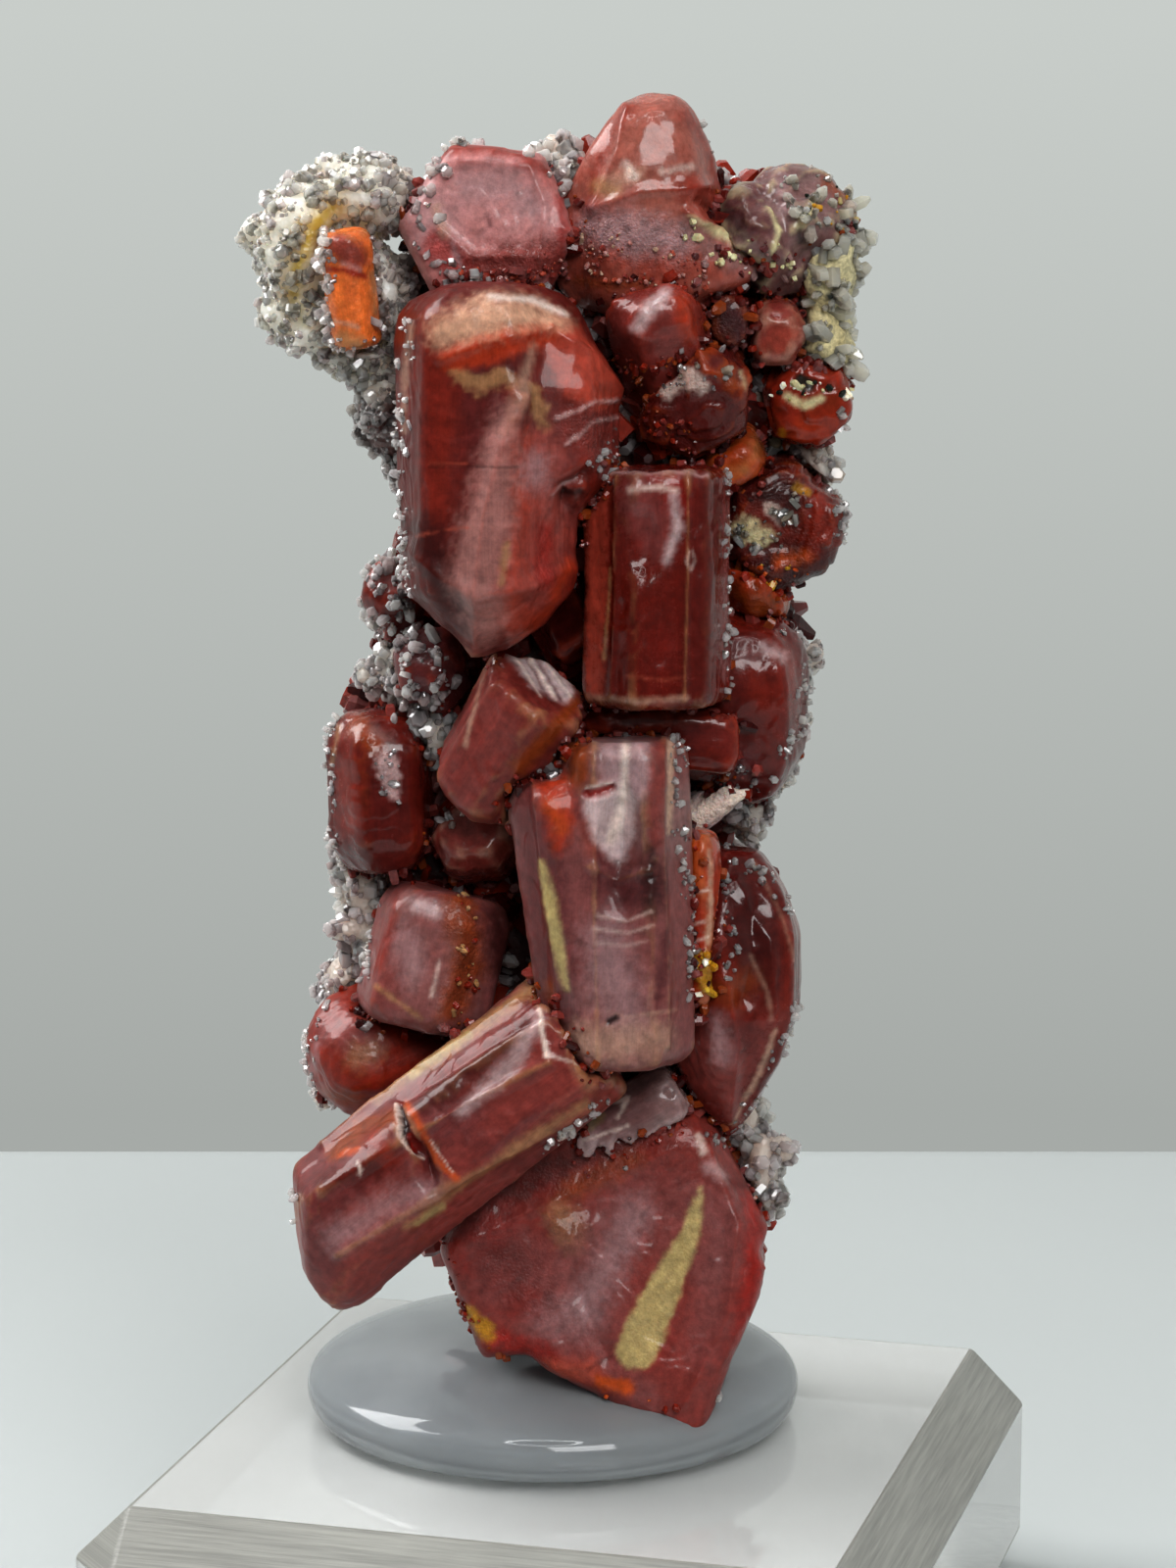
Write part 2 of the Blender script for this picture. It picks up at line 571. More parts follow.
LARGE_UPPER = look(MAROON, (0, 0.06, 1), cloud=BRICK, film=DEEP_MAUVE, ringed=0.09, lumps=0.12,
                   worn=9, strokes=(
    ridge([(530, 405), (512, 463), (497, 520), (487, 600), (486, 662)], 28, 0.9),
    ridge([(450, 366), (505, 347), (562, 334)], 14, 0.35),
    ridge([(560, 336), (600, 362), (636, 402)], 16, 0.5),
    ridge([(420, 560), (450, 590), (487, 606), (540, 600), (580, 580)], 18, 0.4),
    ridge([(600, 485), (575, 500), (578, 520)], 16, -1.1),
    stroke(BRICK, [(447, 380), (450, 440), (448, 520)], 16, 10, 4, 0.55, silk=0.2),
    stroke(DARK_MAROON, [(432, 545), (450, 590), (478, 620)], 20, 12, 4, 0.85, silk=0.3),
    stroke(CORAL, [(545, 460), (552, 540), (528, 622)], (26, 28, 26), 9, 7, silk=0.6),
    stroke(MAUVE, [(560, 440), (566, 520), (548, 600)], (24, 26, 20), 14, 8, 0.55, silk=0.7),
    stroke(CORAL, [(575, 352), (596, 382), (612, 402)], (20, 27, 18), 5, 4, silk=0.4),
    stroke(ORANGE_RED, [(462, 366), (502, 352), (556, 338)], (13, 17, 14), 5, 3, silk=0.35),
    stroke(PEACH, [(452, 340), (492, 324), (536, 318), (570, 330)], (15, 20, 15, 8), 9, 6, 0.85, silk=0.6),
    stroke(PALE, [(500, 303), (545, 305), (578, 321)], (2, 3, 2), 2.5, 0, 0.9),
    stroke(TAN, [(462, 381), (488, 392), (514, 386)], (5, 10, 9), 4, 7, 0.65, silk=0.6, rise=0.03),
    stroke(TAN, [(540, 398), (550, 420), (556, 432)], (7, 10, 4), 4, 6, 0.65, silk=0.6, rise=0.03),
    stroke(CREAM, [(545, 352), (532, 396), (514, 440)], (3, 6, 5), 4, 2, 0.5),
    stroke(ROSE, [(516, 425), (506, 480), (500, 530), (484, 590), (498, 640)],
           (12, 20, 26, 26, 18), 10, 8, 0.75, silk=0.8),
    stroke(LILAC, [(546, 474), (548, 486)], 13, 9, 3, 0.6, silk=0.7),
    stroke(TAN, [(518, 556), (512, 594)], 3, 3, 2, 0.7),
    stroke(RED, [(558, 540), (556, 592)], (6, 8), 5, 4, 0.7, grit=0.5),
    stroke(ORANGE_RED, [(579, 575), (562, 620), (526, 656)], 5, 4, 1, 0.8),
    stroke(CREAM, [(424, 622), (452, 648), (486, 663)], 3, 3, 1, 0.6),
    stroke(CREAM, [(419, 330), (413, 380), (413, 440)], 2, 2, 1, 0.5),
    stroke(PINK_RED, [(585, 430), (612, 440), (618, 468)], (16, 24, 18), 8, 6, 0.8, silk=0.2, grit=1.0),
    stroke(PINK_SUGAR, [(567, 427), (590, 419), (608, 410), (628, 409)], 1.6, 1.6, 2, 0.6, rise=0.12),
    stroke(PINK_SUGAR, [(578, 453), (592, 444), (604, 432), (630, 426)], 1.6, 1.6, 2, 0.6, rise=0.12),
    stroke(PINK_SUGAR, [(565, 506), (580, 497), (592, 492)], 1.8, 1.8, 2, 0.6, rise=0.08),
    stroke(BLACK_RED, [(575, 512), (592, 504)], 4, 3, 1, 0.8, rise=-0.15),
    stroke(SALMON, [(438, 473), (476, 473)], 1.0, 1.4, 1, 0.6, rise=-0.04),
    stroke(BLACK_RED, [(438, 476), (528, 477)], 0.8, 1.4, 1, 0.6, rise=-0.06),
    stroke(SALMON, [(425, 547), (452, 541), (478, 538)], 0.8, 1.3, 2, 0.7),
))

RIGHT_UPRIGHT = look(OXBLOOD, (0, 0.05, 1), cloud=RED, film=MAROON, edge=TAN, lumps=0.04, rings=0.015,
                     ringed=0.08, silk=0.25, kind="glossy", worn=3, strokes=(
    ridge([(628, 484), (627, 600), (624, 712)], 8, 0.2),
    ridge([(702, 484), (701, 600), (698, 712)], 9, 0.3),
    ridge([(664, 484), (662, 540), (660, 570)], 20, -0.3),
    stroke(CORAL, [(609, 488), (608, 600), (606, 705)], (10, 10, 8), 4, 3, 0.9, silk=0.4),
    stroke(MAROON, [(722, 495), (722, 600), (718, 700)], 13, 7, 2, 0.8, silk=0.1),
    stroke(MAUVE, [(650, 500), (664, 530), (674, 562)], (18, 22, 12), 9, 2, 0.6, silk=0.7),
    stroke(SILVER, [(688, 506), (691, 540), (680, 572)], (4, 5, 3), 4, 1, 0.75, silk=0.6),
    stroke(PALE, [(642, 500), (668, 497), (690, 500)], 2.5, 3, 1, 0.6),
    stroke(TAN, [(622, 580), (619, 625), (616, 672)], 1.4, 1.4, 1, 0.6, rise=0.03),
    stroke(PINK_SUGAR, [(602, 481), (660, 479), (722, 484)], 2.2, 2, 1.5, 0.45),
    stroke(CREAM, [(602, 711), (650, 716), (700, 712)], 2.4, 2.4, 1.5, 0.5),
    stroke(SALMON, [(640, 690), (680, 694), (698, 690)], 1.2, 1.6, 1, 0.6),
    stroke(PALE, [(703, 562), (700, 574), (705, 581), (709, 572), (706, 562)], 1.2, 1.4, 0, 0.4, rise=0.05),
    stroke(MAUVE, [(742, 520), (744, 600), (740, 690)], 5, 4, 3, 0.6, grit=0.8),
))

CENTRAL_SCOOPED = look(MAUVE, (0.03, -0.07, 1), cloud=GREY_MAUVE, film=DEEP_MAUVE, edge=TAN, lumps=0.04,
                       silk=0.55, ringed=0.05, worn=3, strokes=(
    ridge([(606, 762), (606, 900), (610, 1085)], 9, 0.3),
    ridge([(676, 756), (676, 900), (680, 1068)], 8, 0.3),
    ridge([(636, 790), (634, 850), (632, 880)], 24, -0.7),
    ridge([(600, 884), (630, 898), (662, 888)], 9, 0.25),
    ridge([(640, 930), (642, 1000), (646, 1070)], 22, -0.35),
    ridge([(545, 800), (560, 930), (572, 1040)], 10, 0.25),
    stroke(DEEP_MAUVE, [(545, 800), (556, 900), (570, 1050)], 22, 8, 3, 0.7),
    stroke(MAROON, [(534, 800), (548, 910), (560, 1010)], (7, 9, 8), 7, 2, 0.5, silk=0.4),
    stroke(ORANGE_RED, [(566, 800), (572, 830), (570, 862)], (17, 15, 7), 7, 4, 0.9, silk=0.3),
    stroke(ORANGE, [(561, 822), (573, 845)], 6, 5, 3, 0.6),
    stroke(OLIVE_TAN, [(553, 878), (561, 920), (570, 972), (577, 1010)], (2, 6, 5, 2), 2.5, 1.5, 0.95),
    stroke(ORANGE_BROWN, [(560, 1005), (570, 1058)], 5, 4, 2, 0.7),
    stroke(ORANGE_BROWN, [(590, 758), (590, 792)], (13, 11), 5, 2, 0.95, silk=0.2),
    stroke(LILAC, [(640, 760), (640, 800), (634, 815)], (26, 24, 16), 6, 2, 0.85, silk=0.6),
    stroke(PINK_RED, [(672, 765), (668, 830), (668, 860)], (9, 8, 7), 4, 1, 0.8),
    stroke(CREAM, [(684, 753), (685, 800), (683, 850)], (4, 4, 3), 2, 2, 0.9, grit=0.4),
    stroke(SILVER, [(622, 824), (624, 848), (629, 872)], (26, 22, 8), 4, 1.5, 0.9, silk=0.75),
    stroke(PALE, [(638, 757), (637, 790), (633, 828), (624, 858)], (4, 3, 4, 5), 3, 1, 0.85, silk=0.4),
    stroke(DEEP_MAUVE, [(590, 822), (597, 852), (614, 878), (629, 889)], 2.5, 3, 1, 0.8),
    stroke(DEEP_MAUVE, [(612, 898), (640, 912), (664, 905)], (12, 17, 16), 9, 3, 0.85, silk=0.3),
    stroke(BLACK_RED, [(665, 868), (664, 900), (664, 925)], (6, 10, 8), 8, 2, 0.85, silk=0.15),
    stroke(DARK_MAROON, [(634, 885), (634, 915)], 9, 8, 2, 0.6),
    stroke(SALMON, [(596, 842), (603, 868)], 6, 5, 2, 0.35),
    stroke(LILAC, [(616, 958), (628, 1000), (640, 1036)], (20, 24, 20), 14, 4, 0.5, silk=0.75),
    stroke(CREAM, [(596, 1060), (630, 1066), (672, 1058)], (16, 18, 14), 9, 4, 0.5, silk=0.7),
    stroke(DEEP_MAUVE, [(677, 950), (674, 1000), (670, 1030)], (3, 4, 2), 2.5, 2, 0.85, rise=-0.04),
    stroke(PALE, [(610, 934), (640, 940), (664, 930)], 1.2, 1.6, 1, 0.35, rise=0.03),
    stroke(PALE, [(606, 947), (640, 953), (666, 944)], 1.2, 1.6, 1, 0.35, rise=0.03),
    stroke(PALE, [(610, 962), (640, 966), (660, 960)], 1.2, 1.6, 1, 0.25, rise=0.02),
    stroke(CREAM, [(620, 1032), (640, 1038), (690, 1030)], 1.2, 1.6, 2, 0.4, rise=0.02),
    stroke(RED, [(599, 810), (624, 806)], 4.5, 1.8, 0.5, 0.95, silk=0.1, rise=-0.25),
    stroke(PALE, [(598, 804), (624, 800)], 1.0, 1.2, 0.5, 0.8),
    stroke(BLACK_RED, [(621, 1043), (628, 1039)], 3, 1.6, 0.5, 0.95, rise=-0.1),
))

DIAGONAL = look(PINK_RED, (0.78, 0.04, 0.62), cloud=DEEP_MAUVE, film=MAUVE, edge=TAN, silk=0.5,
                lumps=0.05, ringed=0.07, worn=4, strokes=(
    ridge([(330, 1215), (430, 1152), (560, 1084)], 14, 0.5),
    ridge([(345, 1280), (450, 1216), (600, 1130)], 12, 0.4),
    ridge([(330, 1168), (400, 1108), (530, 1022)], 10, 0.35),
    ridge([(410, 1122), (480, 1078), (552, 1034)], 9, -0.4),
    stroke(TAN, [(384, 1118), (440, 1078), (500, 1040), (544, 1010)], (5, 8, 7, 4), 4, 3, 0.75),
    stroke(OLIVE_TAN, [(420, 1098), (480, 1056)], 2.5, 2, 2, 0.6),
    stroke(DARK_MAROON, [(430, 1128), (486, 1090), (532, 1046)], (8, 11, 8), 6, 3, 0.7, silk=0.2),
    stroke(SILVER, [(470, 1136), (500, 1108), (526, 1080), (548, 1040)], (4, 8, 9, 6), 5, 2, 0.6, silk=0.65),
    stroke(PALE, [(549, 1030), (553, 1052), (558, 1076)], 2.2, 1.8, 1, 0.9, rise=0.04),
    stroke(PALE, [(560, 1077), (590, 1085)], 1.4, 1.4, 1, 0.6),
    stroke(PINK_RED, [(500, 1150), (560, 1110), (600, 1108)], (12, 16, 12), 8, 3, 0.7, silk=0.5),
    stroke(TAN, [(590, 1082), (600, 1108)], (7, 5), 5, 3, 0.4),
    stroke(ORANGE_BROWN, [(342, 1176), (368, 1154), (398, 1140)], (9, 12, 9), 4, 3, 0.95, silk=0.15),
    stroke(ORANGE, [(345, 1180), (366, 1172)], 3, 2, 2, 0.8),
    stroke(MAROON, [(334, 1206), (364, 1196), (396, 1184)], (9, 14, 12), 6, 3, 0.95, silk=0.1),
    stroke(BRICK, [(380, 1160), (396, 1180)], 9, 6, 3, 0.8, silk=0.1),
    stroke(PALE, [(366, 1186), (369, 1193), (367, 1198)], 1.2, 1.2, 1, 0.8),
    stroke(LILAC, [(345, 1262), (400, 1226), (440, 1212)], (14, 12, 8), 10, 4, 0.5, silk=0.75),
    stroke(BLACK_RED, [(406, 1128), (414, 1156), (430, 1176)], (2, 6, 4), 1.5, 0.5, 0.95, rise=-0.35),
    stroke(RED, [(420, 1160), (430, 1174)], 3.5, 2, 0.5, 0.9),
    stroke(PALE, [(403, 1126), (408, 1158), (416, 1172), (432, 1182)], 1.4, 1.2, 0.8, 0.9, rise=0.05),
    stroke(ORANGE, [(412, 1122), (430, 1150), (446, 1184), (466, 1202)], (3, 3, 4, 3), 2, 1, 0.85),
    stroke(PALE, [(440, 1164), (462, 1196)], 0.9, 1.0, 0.6, 0.7),
    stroke(TAN, [(414, 1252), (480, 1205), (540, 1160), (596, 1124)], (3, 4, 4, 3), 3, 3, 0.65),
    stroke(OLIVE_TAN, [(426, 1248), (452, 1232)], 3, 2, 2, 0.7),
    stroke(DEEP_MAUVE, [(500, 1176), (556, 1130)], 4, 4, 2, 0.6),
    stroke(TAN, [(304, 1222), (300, 1260)], 3, 3, 1, 0.6),
))

BOTTOM_PLATE = look(PINK_RED, (0, -0.97, 0.2), cloud=MAUVE, film=RED, edge=BRICK, clouded=0.7, silk=0.5,
                    grit=0.15, lumps=0.1, lines=0.0, rings=0.0, ringed=0.0, worn=5, strokes=(
    ridge([(720, 1170), (752, 1250), (744, 1340), (700, 1430)], 14, 0.4),
    ridge([(470, 1270), (540, 1236), (620, 1200), (690, 1170)], 22, 0.4),
    ridge([(585, 1290), (600, 1340), (620, 1385)], 26, -0.4),
    ridge([(560, 1240), (582, 1262), (604, 1250)], 18, 0.35),
    stroke(MAROON, [(470, 1250), (520, 1290), (560, 1330)], (22, 34, 22), 14, 7, 0.45, silk=0.2, grit=0.9),
    stroke(DARK_MAROON, [(480, 1230), (560, 1195), (640, 1160)], (14, 16, 14), 10, 5, 0.6, silk=0.2,
           grit=0.8),
    stroke(ORANGE_BROWN, [(580, 1215), (620, 1200), (650, 1182)], (10, 12, 8), 7, 5, 0.75, grit=0.6),
    stroke(TAN, [(572, 1240), (586, 1262)], (14, 18), 8, 6, 0.5, grit=0.8, rise=0.25),
    stroke(PINK_RED, [(660, 1160), (690, 1180)], 18, 10, 5, 0.6, grit=0.5),
    stroke(MAUVE, [(640, 1230), (600, 1300), (590, 1360)], (30, 34, 26), 16, 8, 0.85, silk=0.7),
    stroke(LILAC, [(652, 1236), (622, 1290), (596, 1330)], (12, 16, 12), 12, 8, 0.5, silk=0.75),
    stroke(LILAC, [(560, 1350), (600, 1340)], 16, 12, 6, 0.35, silk=0.6),
    stroke(SILVER, [(722, 1190), (738, 1202)], (6, 5), 5, 2, 0.5, silk=0.2, rise=0.1),
    stroke(MAUVE, [(735, 1240), (730, 1310), (715, 1380)], (16, 18, 18), 10, 3, 0.6, silk=0.6),
    stroke(RED, [(766, 1218), (772, 1290), (760, 1362)], (7, 11, 10), 6, 2, 0.9, silk=0.15),
    stroke(MAROON, [(745, 1206), (766, 1212)], 5, 4, 2, 0.7),
    stroke(OLIVE_TAN, [(715, 1214), (703, 1262), (676, 1318), (650, 1376)], (3, 10, 18, 21), 2.5, 2.5, 0.9,
           silk=0.8, grit=0.4),
    stroke(GOLD, [(480, 1340), (498, 1360)], (7, 8), 3, 3, 0.9, grit=0.8),
    stroke(RED, [(515, 1368), (552, 1386), (560, 1392)], (10, 15, 10), 5, 5, 0.9, silk=0.2, grit=0.6),
    stroke(SALMON, [(560, 1400), (600, 1400)], 12, 7, 4, 0.8, silk=0.3),
    stroke(ORANGE, [(612, 1410), (640, 1416)], (7, 8), 3, 2, 0.95, silk=0.15),
    stroke(PINK_RED, [(690, 1400), (715, 1430)], (20, 10), 8, 4, 0.6),
    stroke(DARK_MAROON, [(600, 1398), (624, 1384)], 1.4, 2, 2, 0.6),
    stroke(PALE, [(712, 1160), (716, 1176)], 3, 2, 2, 0.6, grit=0.6),
))

LOWER_RIGHT_POINTED = look(MAROON, (0.02, 0.12, 1), cloud=BRICK, film=MAROON, edge=PINK_RED, silk=0.2,
                           kind="glossy", lumps=0.06, ringed=0.04, worn=5, strokes=(
    ridge([(740, 1000), (752, 1060), (744, 1140)], 16, 0.5),
    ridge([(752, 900), (786, 960), (792, 1040)], 14, 0.25),
    ridge([(770, 930), (770, 980), (760, 1020)], 22, -0.5),
    stroke(DARK_MAROON, [(752, 900), (770, 960), (776, 1010)], (16, 26, 18), 12, 3, 0.7, silk=0.1),
    stroke(BRICK, [(806, 940), (812, 990), (796, 1050)], (8, 8, 10), 6, 2, 0.5),
    stroke(ORANGE_BROWN, [(720, 1008), (745, 1014), (764, 1000)], (12, 14, 10), 9, 3, 0.6),
    stroke(PINK_RED, [(706, 1050), (730, 1090), (746, 1130)], (18, 34, 10), 9, 4, 0.9, silk=0.65),
    stroke(LILAC, [(730, 1040), (736, 1078)], (6, 10), 7, 3, 0.6, silk=0.7),
    stroke(PINK_RED, [(788, 1030), (770, 1085)], 7, 8, 2, 0.5, silk=0.5),
    stroke(CREAM, [(768, 976), (782, 1010), (787, 1040)], 1.4, 2, 1, 0.35),
    stroke(CREAM, [(770, 880), (798, 930), (812, 980)], 1.6, 2, 1, 0.3),
    stroke(CREAM, [(792, 1052), (776, 1096), (748, 1146)], 2.5, 2, 2, 0.7, grit=0.6),
    stroke(DEEP_MAUVE, [(752, 1050), (748, 1080)], 1.2, 2, 1, 0.5),
    stroke(MAUVE, [(740, 1040), (716, 1030), (706, 1040)], 2, 2, 1, 0.5),
))

STRIATED_WEDGE = look(PINK_RED, (0.47, -0.36, 0.8), cloud=MAROON, film=MAUVE, edge=TAN, lumps=0.04,
                      lines=0.05, silk=0.5, worn=2, strokes=(
    stroke(SILVER, [(528, 668), (556, 688), (578, 706)], (9, 17, 9), 4, 2, 0.9, silk=0.35),
    stroke(DEEP_MAUVE, [(534, 664), (562, 712)], 1.2, 1.2, 1, 0.8, rise=-0.05),
    stroke(DEEP_MAUVE, [(545, 670), (574, 712)], 1.2, 1.2, 1, 0.8, rise=-0.05),
    stroke(PALE, [(538, 668), (568, 712)], 1.4, 1.0, 1, 0.8, rise=0.05),
    stroke(PALE, [(526, 668), (552, 710)], 1.2, 1.0, 1, 0.7, rise=0.05),
    stroke(PALE, [(556, 676), (583, 710)], 1.2, 1.0, 1, 0.7, rise=0.05),
    stroke(PINK_RED, [(508, 690), (505, 740), (494, 786)], (18, 22, 14), 8, 3, 0.8, silk=0.6),
    stroke(ORANGE_BROWN, [(590, 714), (566, 744), (530, 782)], (5, 8, 8), 4, 2, 0.95, silk=0.2),
    stroke(CREAM, [(500, 668), (488, 700), (474, 760)], 1.6, 2, 2, 0.5),
))

TOP_LEFT = look(PALE_MAUVE, (0, -0.98, 0.17), cloud=LILAC, film=CORAL, edge=BRICK, clouded=0.5, silk=0.6,
                grit=0.1, lines=0.0, rings=0.0, lumps=0.06, worn=4, strokes=(
    ridge([(470, 165), (540, 170), (556, 210), (548, 270)], 12, 0.3),
    ridge([(448, 233), (480, 262), (556, 262)], 12, 0.35),
    stroke(LILAC, [(480, 190), (520, 190), (545, 210)], (14, 18, 16), 12, 4, 0.6, silk=0.75),
    stroke(BRICK, [(432, 160), (470, 150), (520, 152), (562, 176)], (8, 6, 6, 6), 5, 3, 0.9, silk=0.2),
    stroke(RED, [(572, 200), (574, 250), (566, 290)], (5, 7, 10), 5, 3, 0.8, silk=0.2),
    stroke(PINK_RED, [(490, 276), (530, 270), (556, 262)], (20, 24, 20), 8, 6, 0.9, silk=0.3, grit=0.9),
    stroke(RED, [(446, 250), (470, 280)], 14, 7, 5, 0.8, silk=0.2, grit=0.8),
    stroke(LILAC, [(462, 250), (472, 276)], 2, 2, 2, 0.7),
    stroke(DEEP_MAUVE, [(498, 218), (500, 230)], 1.4, 1.4, 1.5, 0.6),
    stroke(CREAM, [(446, 212), (452, 240)], 4, 3, 4, 0.5, grit=0.8),
))

TOP = look(DUSTY_ROSE, (0, -0.25, 1), cloud=CORAL, film=PALE_MAUVE, edge=BRICK, silk=0.3, kind="glossy",
           lumps=0.1, lines=0.01, worn=16, strokes=(
    ridge([(604, 214), (650, 196), (720, 190)], 14, 0.35),
    ridge([(640, 110), (630, 160), (606, 210)], 16, 0.4),
    ridge([(700, 216), (742, 244), (784, 268)], 9, 0.5),
    ridge([(712, 206), (748, 226), (776, 238)], 9, -0.5),
    stroke(BRICK, [(600, 220), (612, 160), (640, 112)], 6, 6, 2, 0.7, silk=0.15),
    stroke(BRICK, [(700, 116), (724, 150), (738, 190)], (6, 6, 7), 6, 2, 0.8, silk=0.15),
    stroke(CREAM, [(622, 190), (650, 176)], (10, 8), 5, 4, 0.5, grit=0.5),
    stroke(PALE, [(640, 168), (646, 180)], 4, 2.5, 3, 0.7, grit=0.7),
    stroke(PALE, [(676, 176), (706, 170)], 3.5, 3, 3, 0.55, grit=0.7),
    stroke(TAN, [(610, 190), (626, 194)], 7, 5, 3, 0.6),
    stroke(CORAL, [(596, 236), (640, 250), (690, 258)], (18, 26, 24), 9, 6, 0.6, silk=0.2, grit=1.0),
    stroke(LILAC, [(604, 232), (650, 240), (690, 246)], (18, 22, 16), 10, 6, 0.8, silk=0.3, grit=0.9),
    stroke(ORANGE_BROWN, [(588, 286), (630, 292), (660, 288)], (5, 6, 5), 4, 3, 0.7, grit=0.6),
    stroke(BRICK, [(700, 190), (726, 196)], (14, 10), 8, 3, 0.7, silk=0.1),
    stroke(GREY_MAUVE, [(700, 232), (740, 262), (768, 274)], (9, 12, 8), 6, 4, 0.7, grit=0.6),
    stroke(BLACK_RED, [(744, 206), (770, 226)], 10, 7, 3, 0.75, silk=0.1),
    stroke(STRAW, [(702, 220), (730, 240), (758, 254), (784, 266)], (1.5, 2.5, 4, 4), 2, 1.5, 0.9, rise=0.1),
))

SMALL_TILTED = look(PINK_RED, (0.25, -0.6, 0.8), cloud=MAROON, film=MAUVE, edge=ORANGE_RED, silk=0.25,
                    kind="glossy", lumps=0.05, worn=2, strokes=(
    stroke(SILVER, [(650, 336), (662, 316), (678, 300)], (5, 8, 6), 4, 2, 0.75, silk=0.3),
    stroke(ORANGE_RED, [(696, 306), (704, 340)], (8, 9), 6, 3, 0.85, silk=0.15),
    stroke(PINK_RED, [(670, 352), (690, 350)], (10, 8), 7, 3, 0.6),
))

GLASSY = look(MAROON, (0.05, -0.95, -0.3), cloud=ORANGE_BROWN, film=DEEP_MAUVE, edge=ORANGE, silk=0.1,
              grit=0.4, kind="glossy", lumps=0.12, worn=1, steps=0.13, strokes=(
    stroke(PALE, [(680, 400), (700, 384), (714, 392)], (8, 10, 8), 3, 6, 0.6, grit=1.0),
    stroke(ORANGE_BROWN, [(740, 378), (748, 392)], 8, 4, 3, 0.8),
    stroke(MAROON, [(706, 424), (724, 430)], 14, 8, 3, 0.8, grit=0.1),
    stroke(STRAW, [(756, 380), (760, 396)], 2, 2, 2, 0.5),
))

DARK_GLINTING = look(DARK_MAROON, (0, -0.99, 0), cloud=BRICK, film=DEEP_MAUVE, edge=ORANGE_BROWN, silk=0.1,
                     grit=0.7, kind="glossy", lumps=0.12, worn=1, steps=0.14, strokes=(
    stroke(BLACK_RED, [(782, 500), (808, 506)], 16, 8, 5, 0.8),
    stroke(STRAW, [(756, 540), (778, 548)], (12, 13), 3, 8, 0.75, grit=1.0),
    stroke(PALE, [(788, 522), (800, 528)], 7, 2, 7, 0.55, grit=1.0),
    stroke(BRICK, [(836, 510), (838, 548)], 12, 8, 4, 0.8),
    stroke(ORANGE, [(796, 572), (822, 568)], (7, 5), 5, 4, 0.8),
    stroke(GOLD, [(814, 494), (826, 500)], 4, 2, 4, 0.7, grit=1.0),
))

RIGHT_MIDDLE = look(MAROON, (0.02, -0.2, 1), cloud=BRICK, film=DEEP_MAUVE, edge=PINK_RED, silk=0.15,
                    kind="glossy", lumps=0.08, worn=4, strokes=(
    stroke(SILVER, [(780, 660), (798, 670)], 5, 4, 3, 0.6),
    stroke(PINK_RED, [(806, 676), (812, 710)], 6, 5, 3, 0.6),
    stroke(BRICK, [(770, 690), (776, 716)], (10, 8), 7, 3, 0.5),
    stroke(DEEP_MAUVE, [(720, 770), (760, 780)], (16, 14), 8, 5, 0.7, grit=0.8),
    stroke(GREY_MAUVE, [(706, 800), (736, 800)], 10, 6, 6, 0.6, grit=1.0),
))

LEFT_MIDDLE = look(MAROON, (-0.03, 0, 1), cloud=BRICK, film=DEEP_MAUVE, edge=ORANGE_BROWN, silk=0.2,
                   kind="glossy", lumps=0.08, worn=3, strokes=(
    stroke(ORANGE_BROWN, [(368, 742), (384, 760)], (12, 10), 7, 4, 0.8),
    stroke(BRICK, [(356, 790), (360, 840)], (14, 12), 8, 4, 0.6),
    stroke(PINK_SUGAR, [(394, 778), (400, 808)], (11, 9), 3, 6, 0.7, grit=1.0),
    stroke(GREY_MAUVE, [(382, 744), (396, 756)], 7, 4, 4, 0.5, grit=0.6),
    stroke(TAN, [(346, 742), (338, 780)], 2, 2, 1, 0.5),
))

LEFT_LOWER = look(MAUVE, (0.22, 0.13, 0.96), cloud=PINK_RED, film=GREY_MAUVE, edge=ORANGE_BROWN, silk=0.45,
                  lumps=0.05, worn=2, strokes=(
    stroke(SILVER, [(426, 924), (444, 930)], 6, 5, 2, 0.75, silk=0.3),
    stroke(ORANGE_BROWN, [(470, 925), (478, 985), (462, 1030)], (16, 18, 14), 7, 5, 0.85, silk=0.2, grit=0.8),
    stroke(DARK_MAROON, [(506, 935), (512, 985)], (12, 14), 8, 3, 0.8, silk=0.1),
    stroke(LILAC, [(412, 960), (420, 990)], (16, 14), 10, 4, 0.45, silk=0.7),
    stroke(PALE, [(448, 980), (440, 1016)], 1.4, 1.8, 1.5, 0.5),
    stroke(BRICK, [(404, 920), (386, 985)], 5, 4, 2, 0.6),
    stroke(TAN, [(382, 1006), (430, 1040)], 2, 2, 2, 0.6),
))

LEFT_FOOT = look(BRICK, (-0.87, -0.45, -0.3), cloud=PINK_RED, film=MAUVE, edge=ORANGE_BROWN, silk=0.35,
                 lumps=0.07, worn=3, strokes=(
    stroke(MAUVE, [(344, 1050), (372, 1068)], 20, 10, 5, 0.75, silk=0.6),
    stroke(TAN, [(366, 1078), (380, 1072)], (12, 10), 8, 5, 0.4, grit=0.5),
    stroke(ORANGE_BROWN, [(330, 1118), (366, 1122)], 7, 5, 3, 0.8),
    stroke(MAROON, [(420, 1044), (440, 1062)], 14, 9, 3, 0.8),
    stroke(LILAC, [(322, 1066), (318, 1096)], 3, 3, 2, 0.5),
))

